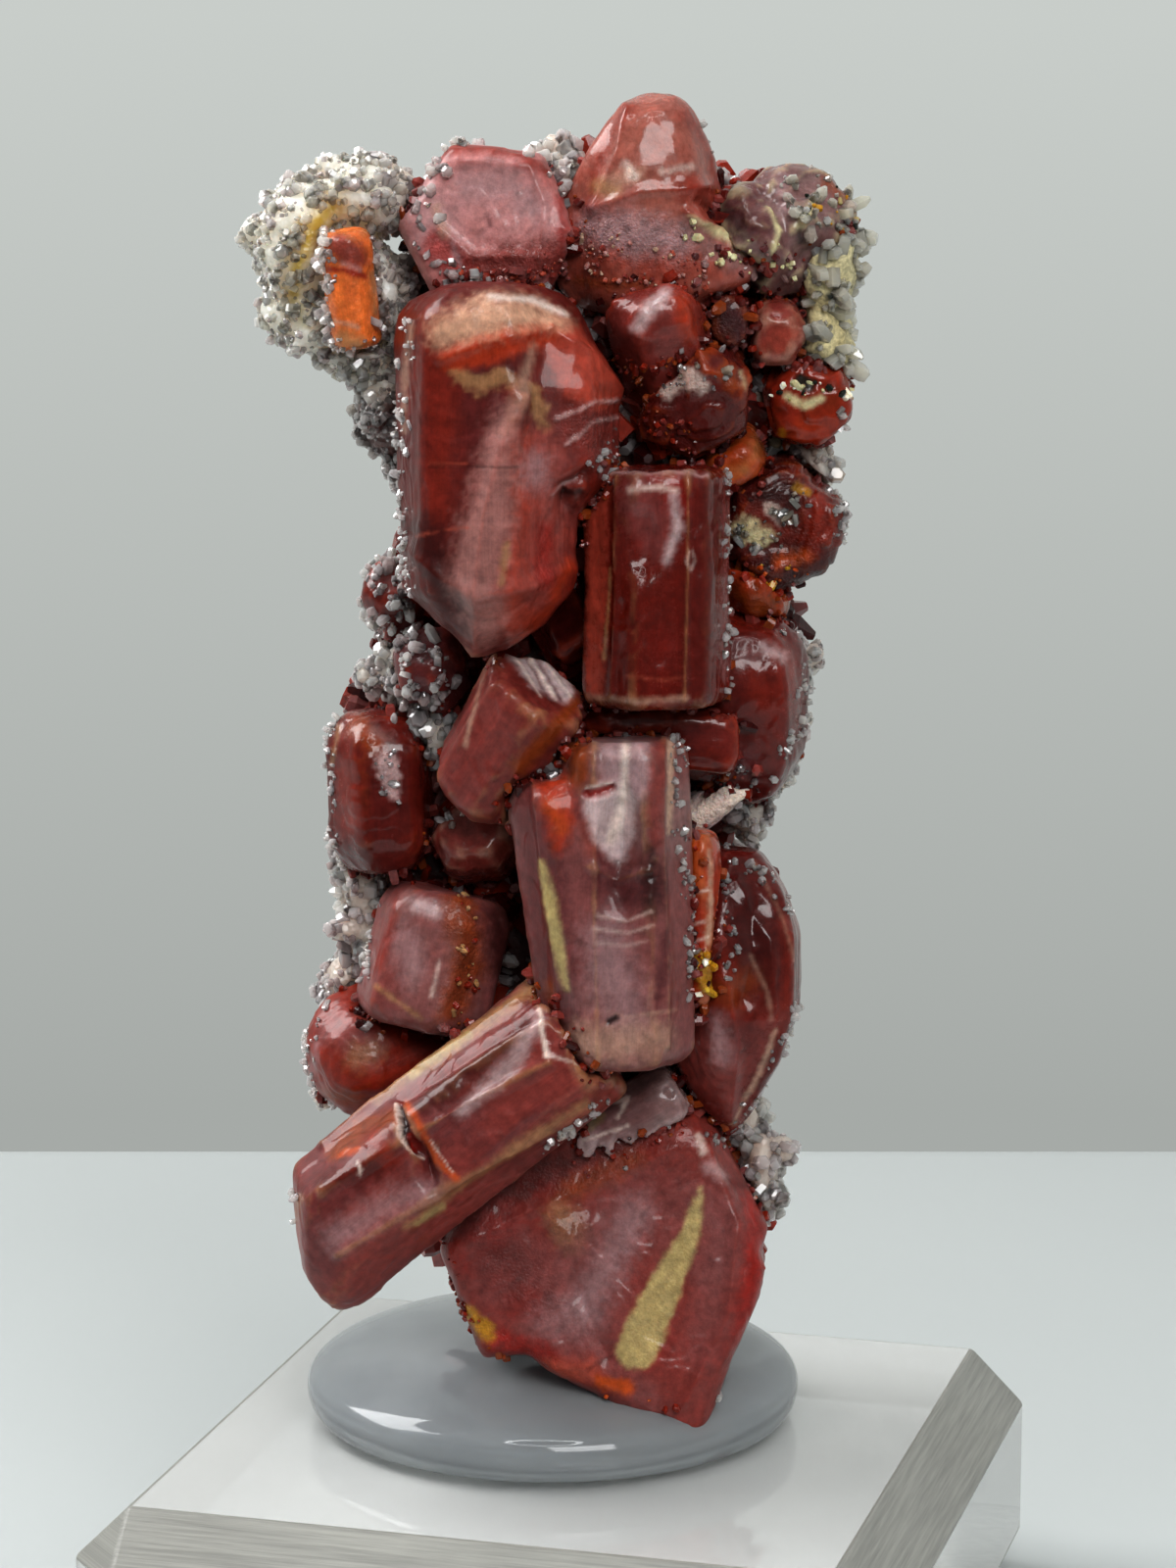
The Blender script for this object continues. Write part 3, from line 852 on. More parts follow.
TOP_RIGHT_GREY = look(GREY_MAUVE, (0.5, -0.6, 0.7), cloud=DEEP_MAUVE, film=MAUVE, edge=STRAW, silk=0.15,
                      kind="glossy", lumps=0.1, lines=0.05, worn=1, steps=0.13, strokes=(
    stroke(BLACK_RED, [(742, 214), (762, 230)], (10, 12), 6, 4, 0.8),
    stroke(DEEP_MAUVE, [(764, 212), (780, 240)], (12, 10), 7, 4, 0.7),
    stroke(STRAW, [(782, 212), (794, 236), (788, 258)], (1.5, 3, 2), 2, 1, 0.9, rise=0.08),
    stroke(STRAW, [(830, 204), (818, 230)], (4, 5), 3, 3, 0.85),
    stroke(LILAC, [(796, 180), (802, 210)], (6, 7), 5, 2, 0.6),
    stroke(ORANGE_BROWN, [(846, 186), (862, 194)], 7, 4, 4, 0.8),
    stroke(BLACK_RED, [(815, 236), (818, 246)], 4, 3, 2, 0.8),
))

RIGHT_RED = look(BRICK, (0.08, -1, 0), cloud=ORANGE_RED, film=ORANGE_BROWN, edge=ORANGE_RED, silk=0.15,
                 kind="glossy", lumps=0.08, worn=1, steps=0.12, strokes=(
    stroke(ORANGE_RED, [(820, 440), (848, 430)], (12, 10), 7, 4, 0.8),
    stroke(STRAW, [(804, 404), (820, 414), (838, 406)], (4, 5, 4), 2, 2, 0.9, grit=0.5),
    stroke(MOSS_BLACK, [(816, 388), (824, 392)], (7, 8), 2.5, 2, 0.95, rise=-0.15),
    stroke(GOLD, [(798, 440), (800, 460)], 3, 2, 3, 0.7),
))

ORANGE_SPLINTER = look(ORANGE_RED, (0, 0.05, 1), cloud=BRICK, film=SALMON, edge=TAN, silk=0.2, kind="glossy",
                       lumps=0.05, strokes=(
    stroke(ORANGE, [(702, 862), (704, 892)], (14, 12), 7, 3, 0.8),
    stroke(RED, [(702, 930), (704, 960)], (16, 14), 7, 4, 0.7),
    stroke(CREAM, [(724, 868), (725, 920), (722, 962)], (2, 2, 2.5), 2, 2, 0.85, grit=0.5),
    stroke(PALE, [(690, 922), (706, 912), (722, 908)], 1.0, 1.2, 1.5, 0.7, rise=0.04),
    stroke(PALE, [(692, 948), (718, 940)], 1.0, 1.2, 1.5, 0.6, rise=0.04),
    stroke(PALE, [(694, 966), (722, 956)], 1.0, 1.2, 1.5, 0.6, rise=0.04),
    stroke(GOLD, [(714, 978), (722, 1004)], 9, 3, 4, 0.95, grit=0.9, rise=0.1),
))

ORANGE_IN_CRUST = look(BRIGHT_ORANGE, (-0.1, 0, 1), swell=0.05, cloud=ORANGE_RED, film=SALMON, edge=TAN,
                       silk=0.2, kind="glossy", lumps=0.06, grit=0.4, strokes=(
    stroke(PINK_RED, [(346, 252), (364, 262)], (13, 12), 4, 3, 0.9, silk=0.6),
    stroke(RED, [(336, 274), (352, 276), (372, 282)], 3, 2, 1.5, 0.9),
    stroke(LILAC, [(348, 268), (368, 276)], 2, 2, 1, 0.6),
    stroke(TAN, [(382, 280), (384, 320)], 3, 3, 2, 0.8),
    stroke(CREAM, [(342, 328), (366, 334)], 2, 1.6, 2, 0.7),
    stroke(TAN, [(350, 345), (366, 352)], 8, 5, 3, 0.8),
))

GREY_STRIATED = look(GREY_MAUVE, (0.85, 0, 0.5), cloud=DEEP_MAUVE, film=LILAC, edge=SILVER, silk=0.15,
                     kind="glossy", lines=0.06, lumps=0.05, strokes=(
    stroke(PALE, [(626, 1124), (640, 1120), (630, 1140)], 2, 1.4, 2, 0.7),
    stroke(PALE, [(594, 1164), (640, 1150)], 1.6, 1.4, 2, 0.6),
    stroke(DARK_MAROON, [(596, 1126), (616, 1118)], 9, 5, 3, 0.8),
    stroke(OLIVE_TAN, [(598, 1150), (612, 1140)], 4, 3, 3, 0.6),
))

# The smaller crystals and those on the back: the body colour and the direction each grew in.
# The back crystals keep their crisp steps and growth lines.
UNWORN = {"worn": 0, "steps": 0.08, "lines": 0.05}

SMALL_LOOKS = {
    "pale_edge_crystal": look(PINK_SUGAR, (0.74, 0, 0.67), cloud=SUGAR, film=PALE, edge=PALE, silk=0.1,
                              grit=1.0, kind="glossy", lines=0.08),
    "lying_crystal": look(MAROON, (1, 0.07, -0.07), cloud=BRICK, film=DEEP_MAUVE, kind="glossy", silk=0.2),
    "dark_grain_crystal": look(DEEP_MAUVE, (0, -1, 0), cloud=BLACK_RED, film=GREY_MAUVE,
                               edge=ORANGE_BROWN, kind="glossy", grit=1.0, silk=0.1),
    "pink_bead_crystal": look(PINK_RED, (0, -1, 0), cloud=SALMON, film=PALE, edge=CREAM, kind="glossy",
                              silk=0.15, grit=0.3),
    "upper_amber_crystal": look(ORANGE_BROWN, (0, -1, -0.2), cloud=ORANGE, film=OLIVE_TAN, kind="glossy",
                                silk=0.1, grit=0.4),
    "lower_amber_crystal": look(ORANGE_BROWN, (-0.1, -0.6, 0.75), cloud=BRICK, film=PINK_RED,
                                kind="glossy", silk=0.1, grit=0.4),
    "left_upper_crystal": look(MAROON, (-0.2, -0.7, 0.7), film=MAUVE, kind="glossy", silk=0.15),
    "left_ledge_crystal": look(DEEP_MAUVE, (-0.15, -0.75, 0.6), cloud=MAROON, kind="glossy", silk=0.15),
    "deep_dark_crystal": look(DARK_MAROON, (0.4, -0.7, -0.6), cloud=MAROON, film=GREY_MAUVE, silk=0.1,
                              kind="glossy", lines=0.05),
    "left_inner_crystal": look(PINK_RED, (-0.13, -0.9, 0.4), cloud=ORANGE_BROWN, edge=CREAM, kind="glossy",
                               silk=0.2, lines=0.05),
    "back_upper_crystal": look(BRICK, (-0.27, 0.38, 0.9), cloud=MAROON, **UNWORN),
    "back_slanting_crystal": look(PINK_RED, (-0.54, 0.34, 0.74), cloud=MAUVE, **UNWORN),
    "back_middle_crystal": look(MAROON, (-0.18, 0.47, 0.86), cloud=BRICK, kind="glossy", silk=0.25,
                                **UNWORN),
    "back_lower_crystal": look(BRICK, (-0.17, 0.45, -0.93), cloud=MAROON, **UNWORN),
    "back_foot_crystal": look(MAUVE, (-0.54, 0.35, -0.8), cloud=PINK_RED, **UNWORN),
}

LOOKS = {
    "large_upper_crystal": LARGE_UPPER,
    "right_upright_crystal": RIGHT_UPRIGHT,
    "central_scooped_crystal": CENTRAL_SCOOPED,
    "diagonal_crystal": DIAGONAL,
    "bottom_plate_crystal": BOTTOM_PLATE,
    "lower_right_pointed_crystal": LOWER_RIGHT_POINTED,
    "striated_wedge_crystal": STRIATED_WEDGE,
    "top_left_crystal": TOP_LEFT,
    "top_crystal": TOP,
    "small_tilted_crystal": SMALL_TILTED,
    "glassy_crystal": GLASSY,
    "dark_glinting_crystal": DARK_GLINTING,
    "right_middle_crystal": RIGHT_MIDDLE,
    "left_middle_crystal": LEFT_MIDDLE,
    "left_lower_crystal": LEFT_LOWER,
    "left_foot_crystal": LEFT_FOOT,
    "top_right_grey_crystals": TOP_RIGHT_GREY,
    "right_red_crystal": RIGHT_RED,
    "orange_splinter_crystal": ORANGE_SPLINTER,
    "orange_crystal_in_crust": ORANGE_IN_CRUST,
    "grey_striated_crystal": GREY_STRIATED,
    **SMALL_LOOKS,
}

# In mm: how round the edges are before they are worn, how deep the chips, and the voxels.
EDGE_ROUNDING = 0.18
CHIP_DEPTH = 0.14
COARSE_VOXEL = 0.25
FINE_VOXEL = 0.095
CRUST_VOXEL = 0.16
ROCK_VOXEL = 0.2


def make_crystal(node, crystal_look, materials, seed):
    """A crystal grown from its CAD solid: edges rounded, faces made fine, then carved and tinted."""
    obj = whole_copy(node, node + "_surface")
    modify(obj, "BEVEL", width=EDGE_ROUNDING * MM, segments=2, limit_method="ANGLE",
           angle_limit=math.radians(20))
    modify(obj, "REMESH", mode="VOXEL", voxel_size=COARSE_VOXEL * MM)
    modify(obj, "SMOOTH", factor=0.5, iterations=crystal_look["worn"])
    modify(obj, "REMESH", mode="VOXEL", voxel_size=FINE_VOXEL * MM)
    modify(obj, "SMOOTH", factor=0.5, iterations=3)
    modify(obj, "DISPLACE", strength=crystal_look["swell"] * MM, mid_level=0.0)
    carve_and_tint(obj, crystal_look, seed)
    return finish_piece(obj, materials[crystal_look["kind"]], [node])


# Small crystals, in joined meshes

# The small crystals' shapes: how many sides, how far the top draws in, and how high it is.
GRAINS = {
    "blocky_grain": (4, 0.75, 0.25),
    "six_sided_grain": (6, 0.35, 0.4),
    "blunt_grain": (6, 0.7, 0.2),
}


def model_grain(name, sides, taper, cap):
    """One small crystal of unit size: a prism whose top is drawn in and cut off."""
    bpy.ops.object.select_all(action="DESELECT")
    bpy.ops.mesh.primitive_cylinder_add(vertices=sides, radius=0.5, depth=1.0, end_fill_type="NGON")
    obj = bpy.context.object
    obj.name = name
    bpy.ops.object.mode_set(mode="EDIT")
    bpy.ops.mesh.select_all(action="DESELECT")
    bpy.ops.object.mode_set(mode="OBJECT")
    for face in obj.data.polygons:
        face.select = face.normal.z > 0.9
    bpy.ops.object.mode_set(mode="EDIT")
    bpy.ops.mesh.extrude_region_move(TRANSFORM_OT_translate={"value": (0, 0, cap)})
    bpy.ops.transform.resize(value=(taper, taper, 1))
    bpy.ops.object.mode_set(mode="OBJECT")
    points = read_points(obj.data)
    # Corners and faces in one fixed order, so that every run gives the same mesh.
    order = np.lexsort(points.round(6).T)
    rank = np.argsort(order).tolist()
    faces = []
    for face in obj.data.polygons:
        corners = [rank[v] for v in face.vertices]
        first = corners.index(min(corners))
        faces.append((*corners[first:], *corners[:first]))
    bpy.data.objects.remove(obj)
    return points[order], sorted(faces)


def turned_frames(directions, rng):
    """For each direction a frame with z along it and a random turn round it."""
    z = directions / np.linalg.norm(directions, axis=1)[:, None]
    x = np.cross(z, rng.normal(size=z.shape))
    x /= np.linalg.norm(x, axis=1)[:, None]
    return np.stack([x, np.cross(z, x), z], axis=1)


def join_grains(name, grains, places, directions, sizes, tints, rng):
    """One mesh of many small crystals: each place gets one of the grains, turned and sized."""
    frames = turned_frames(directions, rng)
    kinds = rng.integers(0, len(grains), len(places))
    all_points, all_faces, all_tints, start = [], [], [], 0
    for i, kind in enumerate(kinds):
        points, faces = grains[kind]
        all_points.append(places[i] + (points * sizes[i]) @ frames[i])
        all_faces += [tuple(start + v for v in face) for face in faces]
        all_tints.append(np.tile(tints[i], (len(points), 1)))
        start += len(points)
    mesh = bpy.data.meshes.new(name)
    mesh.from_pydata(from_specimen(np.concatenate(all_points)), [], all_faces)
    write_attribute(mesh, "tint", "FLOAT_COLOR", np.concatenate(all_tints))
    own = np.concatenate(all_points)
    write_attribute(mesh, "grain", "FLOAT_VECTOR", own)
    write_attribute(mesh, "silk", "FLOAT", np.full(len(own), 0.1))
    write_attribute(mesh, "grit", "FLOAT", np.full(len(own), 0.2))
    return new_object(name, mesh)


def spread_over(mesh, per_mm2, rng, keep):
    """Random places on a mesh with their normals, in mm: keep says how likely each place is."""
    mesh.calc_loop_triangles()
    corners = np.empty(len(mesh.loop_triangles) * 3, np.int32)
    mesh.loop_triangles.foreach_get("vertices", corners)
    points = to_specimen(read_points(mesh))
    a, b, c = points[corners.reshape(-1, 3).T]
    normal = np.cross(b - a, c - a)
    double_area = np.linalg.norm(normal, axis=1)
    count = int(double_area.sum() / 2 * per_mm2)
    chosen = rng.choice(len(a), count, p=double_area / double_area.sum())
    u, v = rng.random((2, count))
    flip = u + v > 1
    u[flip], v[flip] = 1 - u[flip], 1 - v[flip]
    places = a[chosen] + (b - a)[chosen] * u[:, None] + (c - a)[chosen] * v[:, None]
    normals = normal[chosen] / double_area[chosen][:, None]
    kept = rng.random(count) < keep(places, normals)
    return places[kept], normals[kept]


def everywhere(places, normals):
    return np.ones(len(places))


def tints_from(codes, count, rng, spread=0.12):
    """A random colour of the list for each, a little lighter or darker."""
    picked = np.array([linear(code) for code in codes])[rng.integers(0, len(codes), count)]
    return picked * (1 + rng.uniform(-spread, spread, (count, 1)))


def grain_sizes(width, length, count, rng):
    """Width and length of each grain, in mm: most are small and a few are large."""
    wide = width[0] + (width[1] - width[0]) * rng.random(count) ** 2.2
    long = wide * rng.uniform(*length, count)
    return np.column_stack([wide, wide * rng.uniform(0.7, 1.0, count), long])


def grow_grains(name, grains, places, outward, rng, lean, width, length, colours, recolour=None):
    """Small crystals at those places: how far they lean, their width in mm, their length as parts
    of it, and their colours, which recolour may change by their place."""
    directions = outward + rng.normal(scale=lean, size=outward.shape)
    sizes = grain_sizes(width, length, len(places), rng)
    tints = tints_from(colours, len(places), rng)
    if recolour:
        tints = recolour(places, tints)
    return join_grains(name, grains, places, directions, sizes, tints, rng)


# Each crust: colours of its grains, how many to a square millimetre and their width in mm.
CRUSTS = {
    "upper_left_crust": ((SUGAR, SUGAR, SNOW, SUGAR, STRAW, PINK_SUGAR), 13.0, (0.16, 0.6)),
    "top_crust": ((SUGAR, PINK_SUGAR), 6.0, (0.35, 1.0)),
    "left_middle_crust": ((SUGAR, PINK_SUGAR, GREY_MAUVE), 7.0, (0.25, 0.8)),
    "left_lower_crust": ((PINK_SUGAR, SUGAR, MAUVE), 7.0, (0.25, 0.8)),
    "right_middle_crust": ((SUGAR, PINK_SUGAR, CREAM), 7.0, (0.25, 0.7)),
    "upper_right_crust": ((PINK_SUGAR, TAN, SUGAR), 7.0, (0.25, 0.8)),
    "right_lower_crust": ((SUGAR, PINK_SUGAR), 7.0, (0.25, 0.75)),
}


def make_crust(node, grains, materials, seed):
    """A crust: a cloudy core, and on it a joined mesh of small clear crystals."""
    colours, per_mm2, width = CRUSTS[node]
    rng = np.random.default_rng(seed)
    core = whole_copy(node, node + "_core")
    modify(core, "REMESH", mode="VOXEL", voxel_size=CRUST_VOXEL * MM)
    modify(core, "SMOOTH", factor=0.5, iterations=4)
    points, normals = read_surface(core.data)
    points = points + normals * (0.22 * rough_noise(points, 0.9, seed) - 0.02)[:, None]
    write_points(core.data, from_specimen(points))
    write_attribute(core.data, "tint", "FLOAT_COLOR", core_tint(node, points, seed))
    finish_piece(core, materials["cloudy"], [node])
    places, outward = spread_over(core.data, per_mm2, rng, everywhere)

    def recolour(places, tints):
        """Rose towards the red crystals, greyer below, and yellow in the streaks."""
        tints = blend(tints, linear(ROSE), ramp(-8.5, -5.5, places[:, 0]) * 0.7)
        tints = blend(tints, linear(GREY_MAUVE), ramp(-52.8, -50.5, -places[:, 2]) * 0.7)
        for s in YELLOW_STREAKS:
            tints = blend(tints, linear(s["colour"]), stroke_cover(s, in_picture(places), seed) * 0.9)
        return tints

    sugar = grow_grains(node + "_crystals", grains, places, outward, rng, 0.55, width, (0.4, 1.0), colours,
                        recolour if node == "upper_left_crust" else None)
    finish_piece(sugar, materials["clear"], smooth=False)


def core_tint(node, points, seed):
    """The cloudy core's colour: grey white, reddish where it meets the red crystals, and in the
    upper left crust a yellow streak."""
    tint = np.tile(linear(SNOW), (len(points), 1))
    reddish = ramp(-7.5, -5.0, points[:, 0]) if node == "upper_left_crust" else np.full(len(points), 0.6)
    tint = blend(tint, linear(MAUVE), reddish * (0.7 + 0.3 * rough_noise(points, 1.0, seed)))
    if node == "upper_left_crust":
        pixels = in_picture(points)
        low = ramp(-52.6, -51.0, -points[:, 2])
        tint = blend(tint, linear(DEEP_MAUVE), low * 0.9)
        for s in YELLOW_STREAKS:
            tint = blend(tint, linear(s["colour"]), stroke_cover(s, pixels, seed))
    return tint


YELLOW_STREAKS = (
    stroke(YELLOW, [(338, 212), (318, 236), (304, 270), (300, 310)], (12, 13, 11, 8), 8, 6, 0.95),
    stroke(STRAW, [(300, 312), (312, 330)], (7, 5), 4, 3, 0.8),
    stroke(TAN, [(326, 240), (322, 268)], 5, 4, 3, 0.6),
)


def matrix_tint(points, seed):
    """The matrix rock's colours: straw rock with moss-black specks at the upper right, brown rock
    at the foot, and dark reddish ground between the crystals."""
    x, y, z = points.T
    wander = rough_noise(points, 2.5, seed)
    tint = np.tile(linear(DARK_MAROON), (len(points), 1))
    tint = blend(tint, linear(BROWN_ROCK), ramp(0.0, 0.6, wander) * 0.6)
    behind = ramp(2.5, 4.5, y + wander)
    tint = blend(tint, linear(GREY_ROCK), behind * 0.65)
    tint = blend(tint, linear(STRAW), behind * ramp(0.1, 0.5, rough_noise(points, 3.0, seed + 1)) * 0.7)
    bare = ramp(7.6, 8.6, x + 0.6 * wander) * ramp(43, 46, z)
    tint = blend(tint, linear(STRAW), bare)
    tint = blend(tint, linear(OLIVE_TAN), bare * ramp(0.0, 0.5, rough_noise(points, 1.2, seed + 2)) * 0.4)
    foot = ramp(-22.5, -20.0, -z)
    tint = blend(tint, linear(BROWN_ROCK), foot * 0.9)
    specks = ramp(0.26, 0.34, rough_noise(points, 0.5, seed + 3))
    return blend(tint, linear(MOSS_BLACK), specks * np.maximum(bare, 0.5 * behind))


# How many red and clear crystals grow on a square millimetre of rock, where they are thickest.
RED_PER_MM2 = 3.2
CLEAR_PER_MM2 = 3.5


def bare_rock(places):
    """1 where the rock has no small crystals on it: its upper right edge."""
    x, _, z = places.T
    return ramp(7.8, 8.8, x) * ramp(44, 47, z)


def make_matrix(grains, materials, seed):
    """The rock, roughened, with small red and clear crystals over most of it."""
    rng = np.random.default_rng(seed)
    obj = whole_copy("matrix", "matrix_rock")
    modify(obj, "REMESH", mode="VOXEL", voxel_size=ROCK_VOXEL * MM)
    modify(obj, "SMOOTH", factor=0.5, iterations=4)
    points, normals = read_surface(obj.data)
    rise = 0.32 * rough_noise(points, 1.6, seed) + 0.1 * rough_noise(points, 0.5, seed + 1)
    rise += bare_rock(points) * 0.3 * rough_noise(points, 0.9, seed + 5)
    points = points + normals * rise[:, None]
    write_points(obj.data, from_specimen(points))
    write_attribute(obj.data, "tint", "FLOAT_COLOR", matrix_tint(points, seed))
    finish_piece(obj, materials["rock"], ["matrix"])

    def patches(places, normals):
        cover = ramp(-0.35, 0.3, rough_noise(places, 2.6, seed + 4))
        return (0.25 + 0.75 * cover) * (1 - bare_rock(places)) * ramp(14.5, 16.5, places[:, 2])

    places, outward = spread_over(obj.data, RED_PER_MM2, rng, patches)
    red = grow_grains("matrix_red_crystals", grains, places, outward, rng, 0.5, (0.35, 1.5), (0.8, 1.6),
                      (BRICK, MAROON, PINK_RED, MAUVE, DARK_MAROON))
    finish_piece(red, materials["glossy"], smooth=False)

    def clear_patches(places, normals):
        cover = ramp(0.0, 0.4, rough_noise(places, 3.1, seed + 6))
        return np.maximum(cover, 0.8 * bare_rock(places)) * ramp(14.5, 16.5, places[:, 2])

    places, outward = spread_over(obj.data, CLEAR_PER_MM2, rng, clear_patches)
    clear = grow_grains("matrix_clear_crystals", grains, places, outward, rng, 0.6, (0.25, 0.8), (0.7, 1.4),
                        (SUGAR, PINK_SUGAR, GREY_MAUVE),
                        lambda at, tints: blend(tints, linear(STRAW), 0.8 * bare_rock(at)))
    finish_piece(clear, materials["clear"], smooth=False)


def band(node, line, width, colours=(SUGAR, PINK_SUGAR, PALE), kind="clear", size=(0.1, 0.36),
         per_mm2=11.0):
    """A band of small crystals on a large one: its line in picture pixels and half width."""
    return dict(node=node, stroke=stroke(SUGAR, line, width, 3.0, 6.0), colours=colours, kind=kind,
                size=size, per_mm2=per_mm2)


RED_MIX = (BRICK, MAROON, PINK_RED, ORANGE_BROWN)
ROCK_MIX = (STRAW, SUGAR, OLIVE_TAN, TAN, MOSS_BLACK)

BANDS = (
    band("large_upper_crystal", [(416, 330), (409, 420), (407, 560), (416, 625)], 7),
    band("large_upper_crystal", [(608, 470), (634, 448)], 10),
    band("right_upright_crystal", [(745, 486), (748, 600), (743, 700)], 6),
    band("central_scooped_crystal", [(692, 756), (692, 850), (706, 920), (708, 1010)], 6),
    band("central_scooped_crystal", [(552, 790), (572, 786)], 5, RED_MIX, "glossy"),
    band("lower_right_pointed_crystal", [(742, 868), (780, 896), (806, 930)], 6),
    band("lower_right_pointed_crystal", [(810, 1030), (788, 1080), (748, 1152)], 4),
    band("lower_right_pointed_crystal", [(738, 896), (742, 940), (740, 990)], 9),
    band("diagonal_crystal", [(298, 1215), (295, 1262)], 4),
    band("diagonal_crystal", [(560, 1172), (614, 1126)], 6),
    band("bottom_plate_crystal", [(722, 1160), (772, 1185), (792, 1260), (787, 1340), (735, 1440)], 6),
    band("bottom_plate_crystal", [(455, 1256), (470, 1330), (500, 1372)], 4, RED_MIX, "glossy"),
    band("bottom_plate_crystal", [(500, 1376), (560, 1414), (600, 1424), (690, 1440)], 4,
         (ORANGE, ORANGE_BROWN, BRICK), "glossy"),
    band("top_left_crystal", [(432, 150), (434, 200), (446, 260), (470, 292)], 18, (PINK_SUGAR, ROSE, SUGAR),
         size=(0.15, 0.6)),
    band("left_upper_crystal", [(384, 566), (404, 610), (396, 640)], 22, (SUGAR, PINK_SUGAR, MAUVE),
         size=(0.15, 0.55)),
    band("left_ledge_crystal", [(426, 660), (446, 690), (430, 716)], 22, (SUGAR, PINK_SUGAR, MAUVE),
         size=(0.15, 0.55)),
    band("left_inner_crystal", [(440, 800), (470, 830)], 16, (PINK_SUGAR, TAN, MAUVE), size=(0.12, 0.45)),
    band("top_left_crystal", [(455, 146), (520, 140), (566, 160), (578, 214)], 7, size=(0.2, 0.7)),
    band("top_left_crystal", [(480, 286), (530, 282), (560, 272)], 12, (PINK_RED, ROSE, SALMON), "glossy",
         (0.1, 0.3), 22.0),
    band("top_crystal", [(716, 118), (740, 180)], 4),
    band("top_crystal", [(600, 250), (640, 270), (700, 280)], 22, (PINK_RED, ROSE, SALMON, CREAM),
         "glossy", (0.08, 0.26), 20.0),
    band("top_crystal", [(700, 240), (750, 262), (780, 270)], 14, (GREY_MAUVE, STRAW, DEEP_MAUVE),
         "glossy", (0.12, 0.4)),
    band("left_middle_crystal", [(338, 730), (334, 800), (342, 880)], 6),
    band("left_middle_crystal", [(394, 780), (400, 812)], 12),
    band("left_lower_crystal", [(384, 920), (372, 1000)], 5),
    band("left_lower_crystal", [(470, 925), (482, 985), (466, 1030)], 10, (ORANGE_BROWN, BRICK, TAN),
         "glossy", (0.1, 0.3), 22.0),
    band("left_foot_crystal", [(330, 1026), (316, 1060), (312, 1104), (340, 1134)], 6),
    band("right_middle_crystal", [(800, 646), (822, 690), (816, 740), (790, 776)], 6),
    band("right_middle_crystal", [(706, 790), (760, 790)], 16, (GREY_MAUVE, DEEP_MAUVE, SUGAR)),
    band("glassy_crystal", [(664, 396), (700, 380), (736, 386)], 14, (SUGAR, GOLD, GREY_MAUVE, MAROON)),
    band("glassy_crystal", [(660, 430), (700, 446)], 12, RED_MIX, "glossy"),
    band("dark_glinting_crystal", [(756, 530), (780, 552), (810, 520)], 18,
         (SUGAR, STRAW, GOLD, MOSS_BLACK)),
    band("dark_glinting_crystal", [(850, 500), (860, 540)], 8),
    band("dark_glinting_crystal", [(770, 590), (820, 578)], 8, (ORANGE, GOLD, ORANGE_BROWN), "glossy"),
    band("top_right_grey_crystals", [(824, 196), (856, 224), (850, 276)], 26, (STRAW, SUGAR, OLIVE_TAN, TAN),
         size=(0.15, 0.6), per_mm2=9.0),
    band("top_right_grey_crystals", [(840, 200), (862, 240)], 20, (MOSS_BLACK, OLIVE_TAN, GOLD), "glossy",
         per_mm2=4.0),
    band("top_right_grey_crystals", [(770, 240), (800, 270)], 14, (DEEP_MAUVE, STRAW, GREY_MAUVE),
         "glossy"),
    band("right_red_crystal", [(800, 400), (830, 396), (856, 400)], 10, ROCK_MIX, "glossy"),
    band("right_red_crystal", [(860, 420), (846, 456)], 6),
    band("orange_crystal_in_crust", [(333, 240), (332, 300), (336, 350)], 7, size=(0.15, 0.5)),
    band("orange_crystal_in_crust", [(340, 358), (380, 354)], 11, size=(0.15, 0.5)),
    band("orange_crystal_in_crust", [(391, 244), (392, 300), (389, 340)], 8, size=(0.15, 0.5)),
    band("small_tilted_crystal", [(624, 374), (660, 380), (700, 366)], 9, RED_MIX, "glossy"),
    band("orange_splinter_crystal", [(716, 980), (722, 1010)], 9, (GOLD, SUGAR, YELLOW), "glossy"),
)


def make_bands(grains, materials, seed):
    """The bands, joined in one mesh for each kind of material."""
    rng = np.random.default_rng(seed)
    for kind, slot in (("clear", "clear_crust"), ("glossy", "red_crystal")):
        places, outward, sizes, tints = [], [], [], []
        for b in (b for b in BANDS if b["kind"] == kind):

            def in_band(at, normals):
                cover = stroke_cover(b["stroke"], in_picture(at), seed)
                clumps = ramp(-0.5, 0.2, rough_noise(at, 0.9, seed + 1))
                return cover * clumps * (facing_camera(at, normals) > -0.25)

            surface = bpy.data.objects[b["node"] + "_surface"].data
            at, normals = spread_over(surface, b["per_mm2"], rng, in_band)
            places.append(at)
            outward.append(normals)
            sizes.append(grain_sizes(b["size"], (0.7, 1.4), len(at), rng))
            tints.append(tints_from(b["colours"], len(at), rng))
        outward = np.concatenate(outward)
        directions = outward + rng.normal(scale=0.5, size=outward.shape)
        piece = join_grains(kind + "_rim_crystals", grains, np.concatenate(places), directions,
                            np.concatenate(sizes), np.concatenate(tints), rng)
        finish_piece(piece, materials[kind], smooth=False)


# Small crystals in the seams between large ones: how near the next solid is, and how many.
SEAM_REACH = 0.62
SEAM_PER_MM2 = 3.2


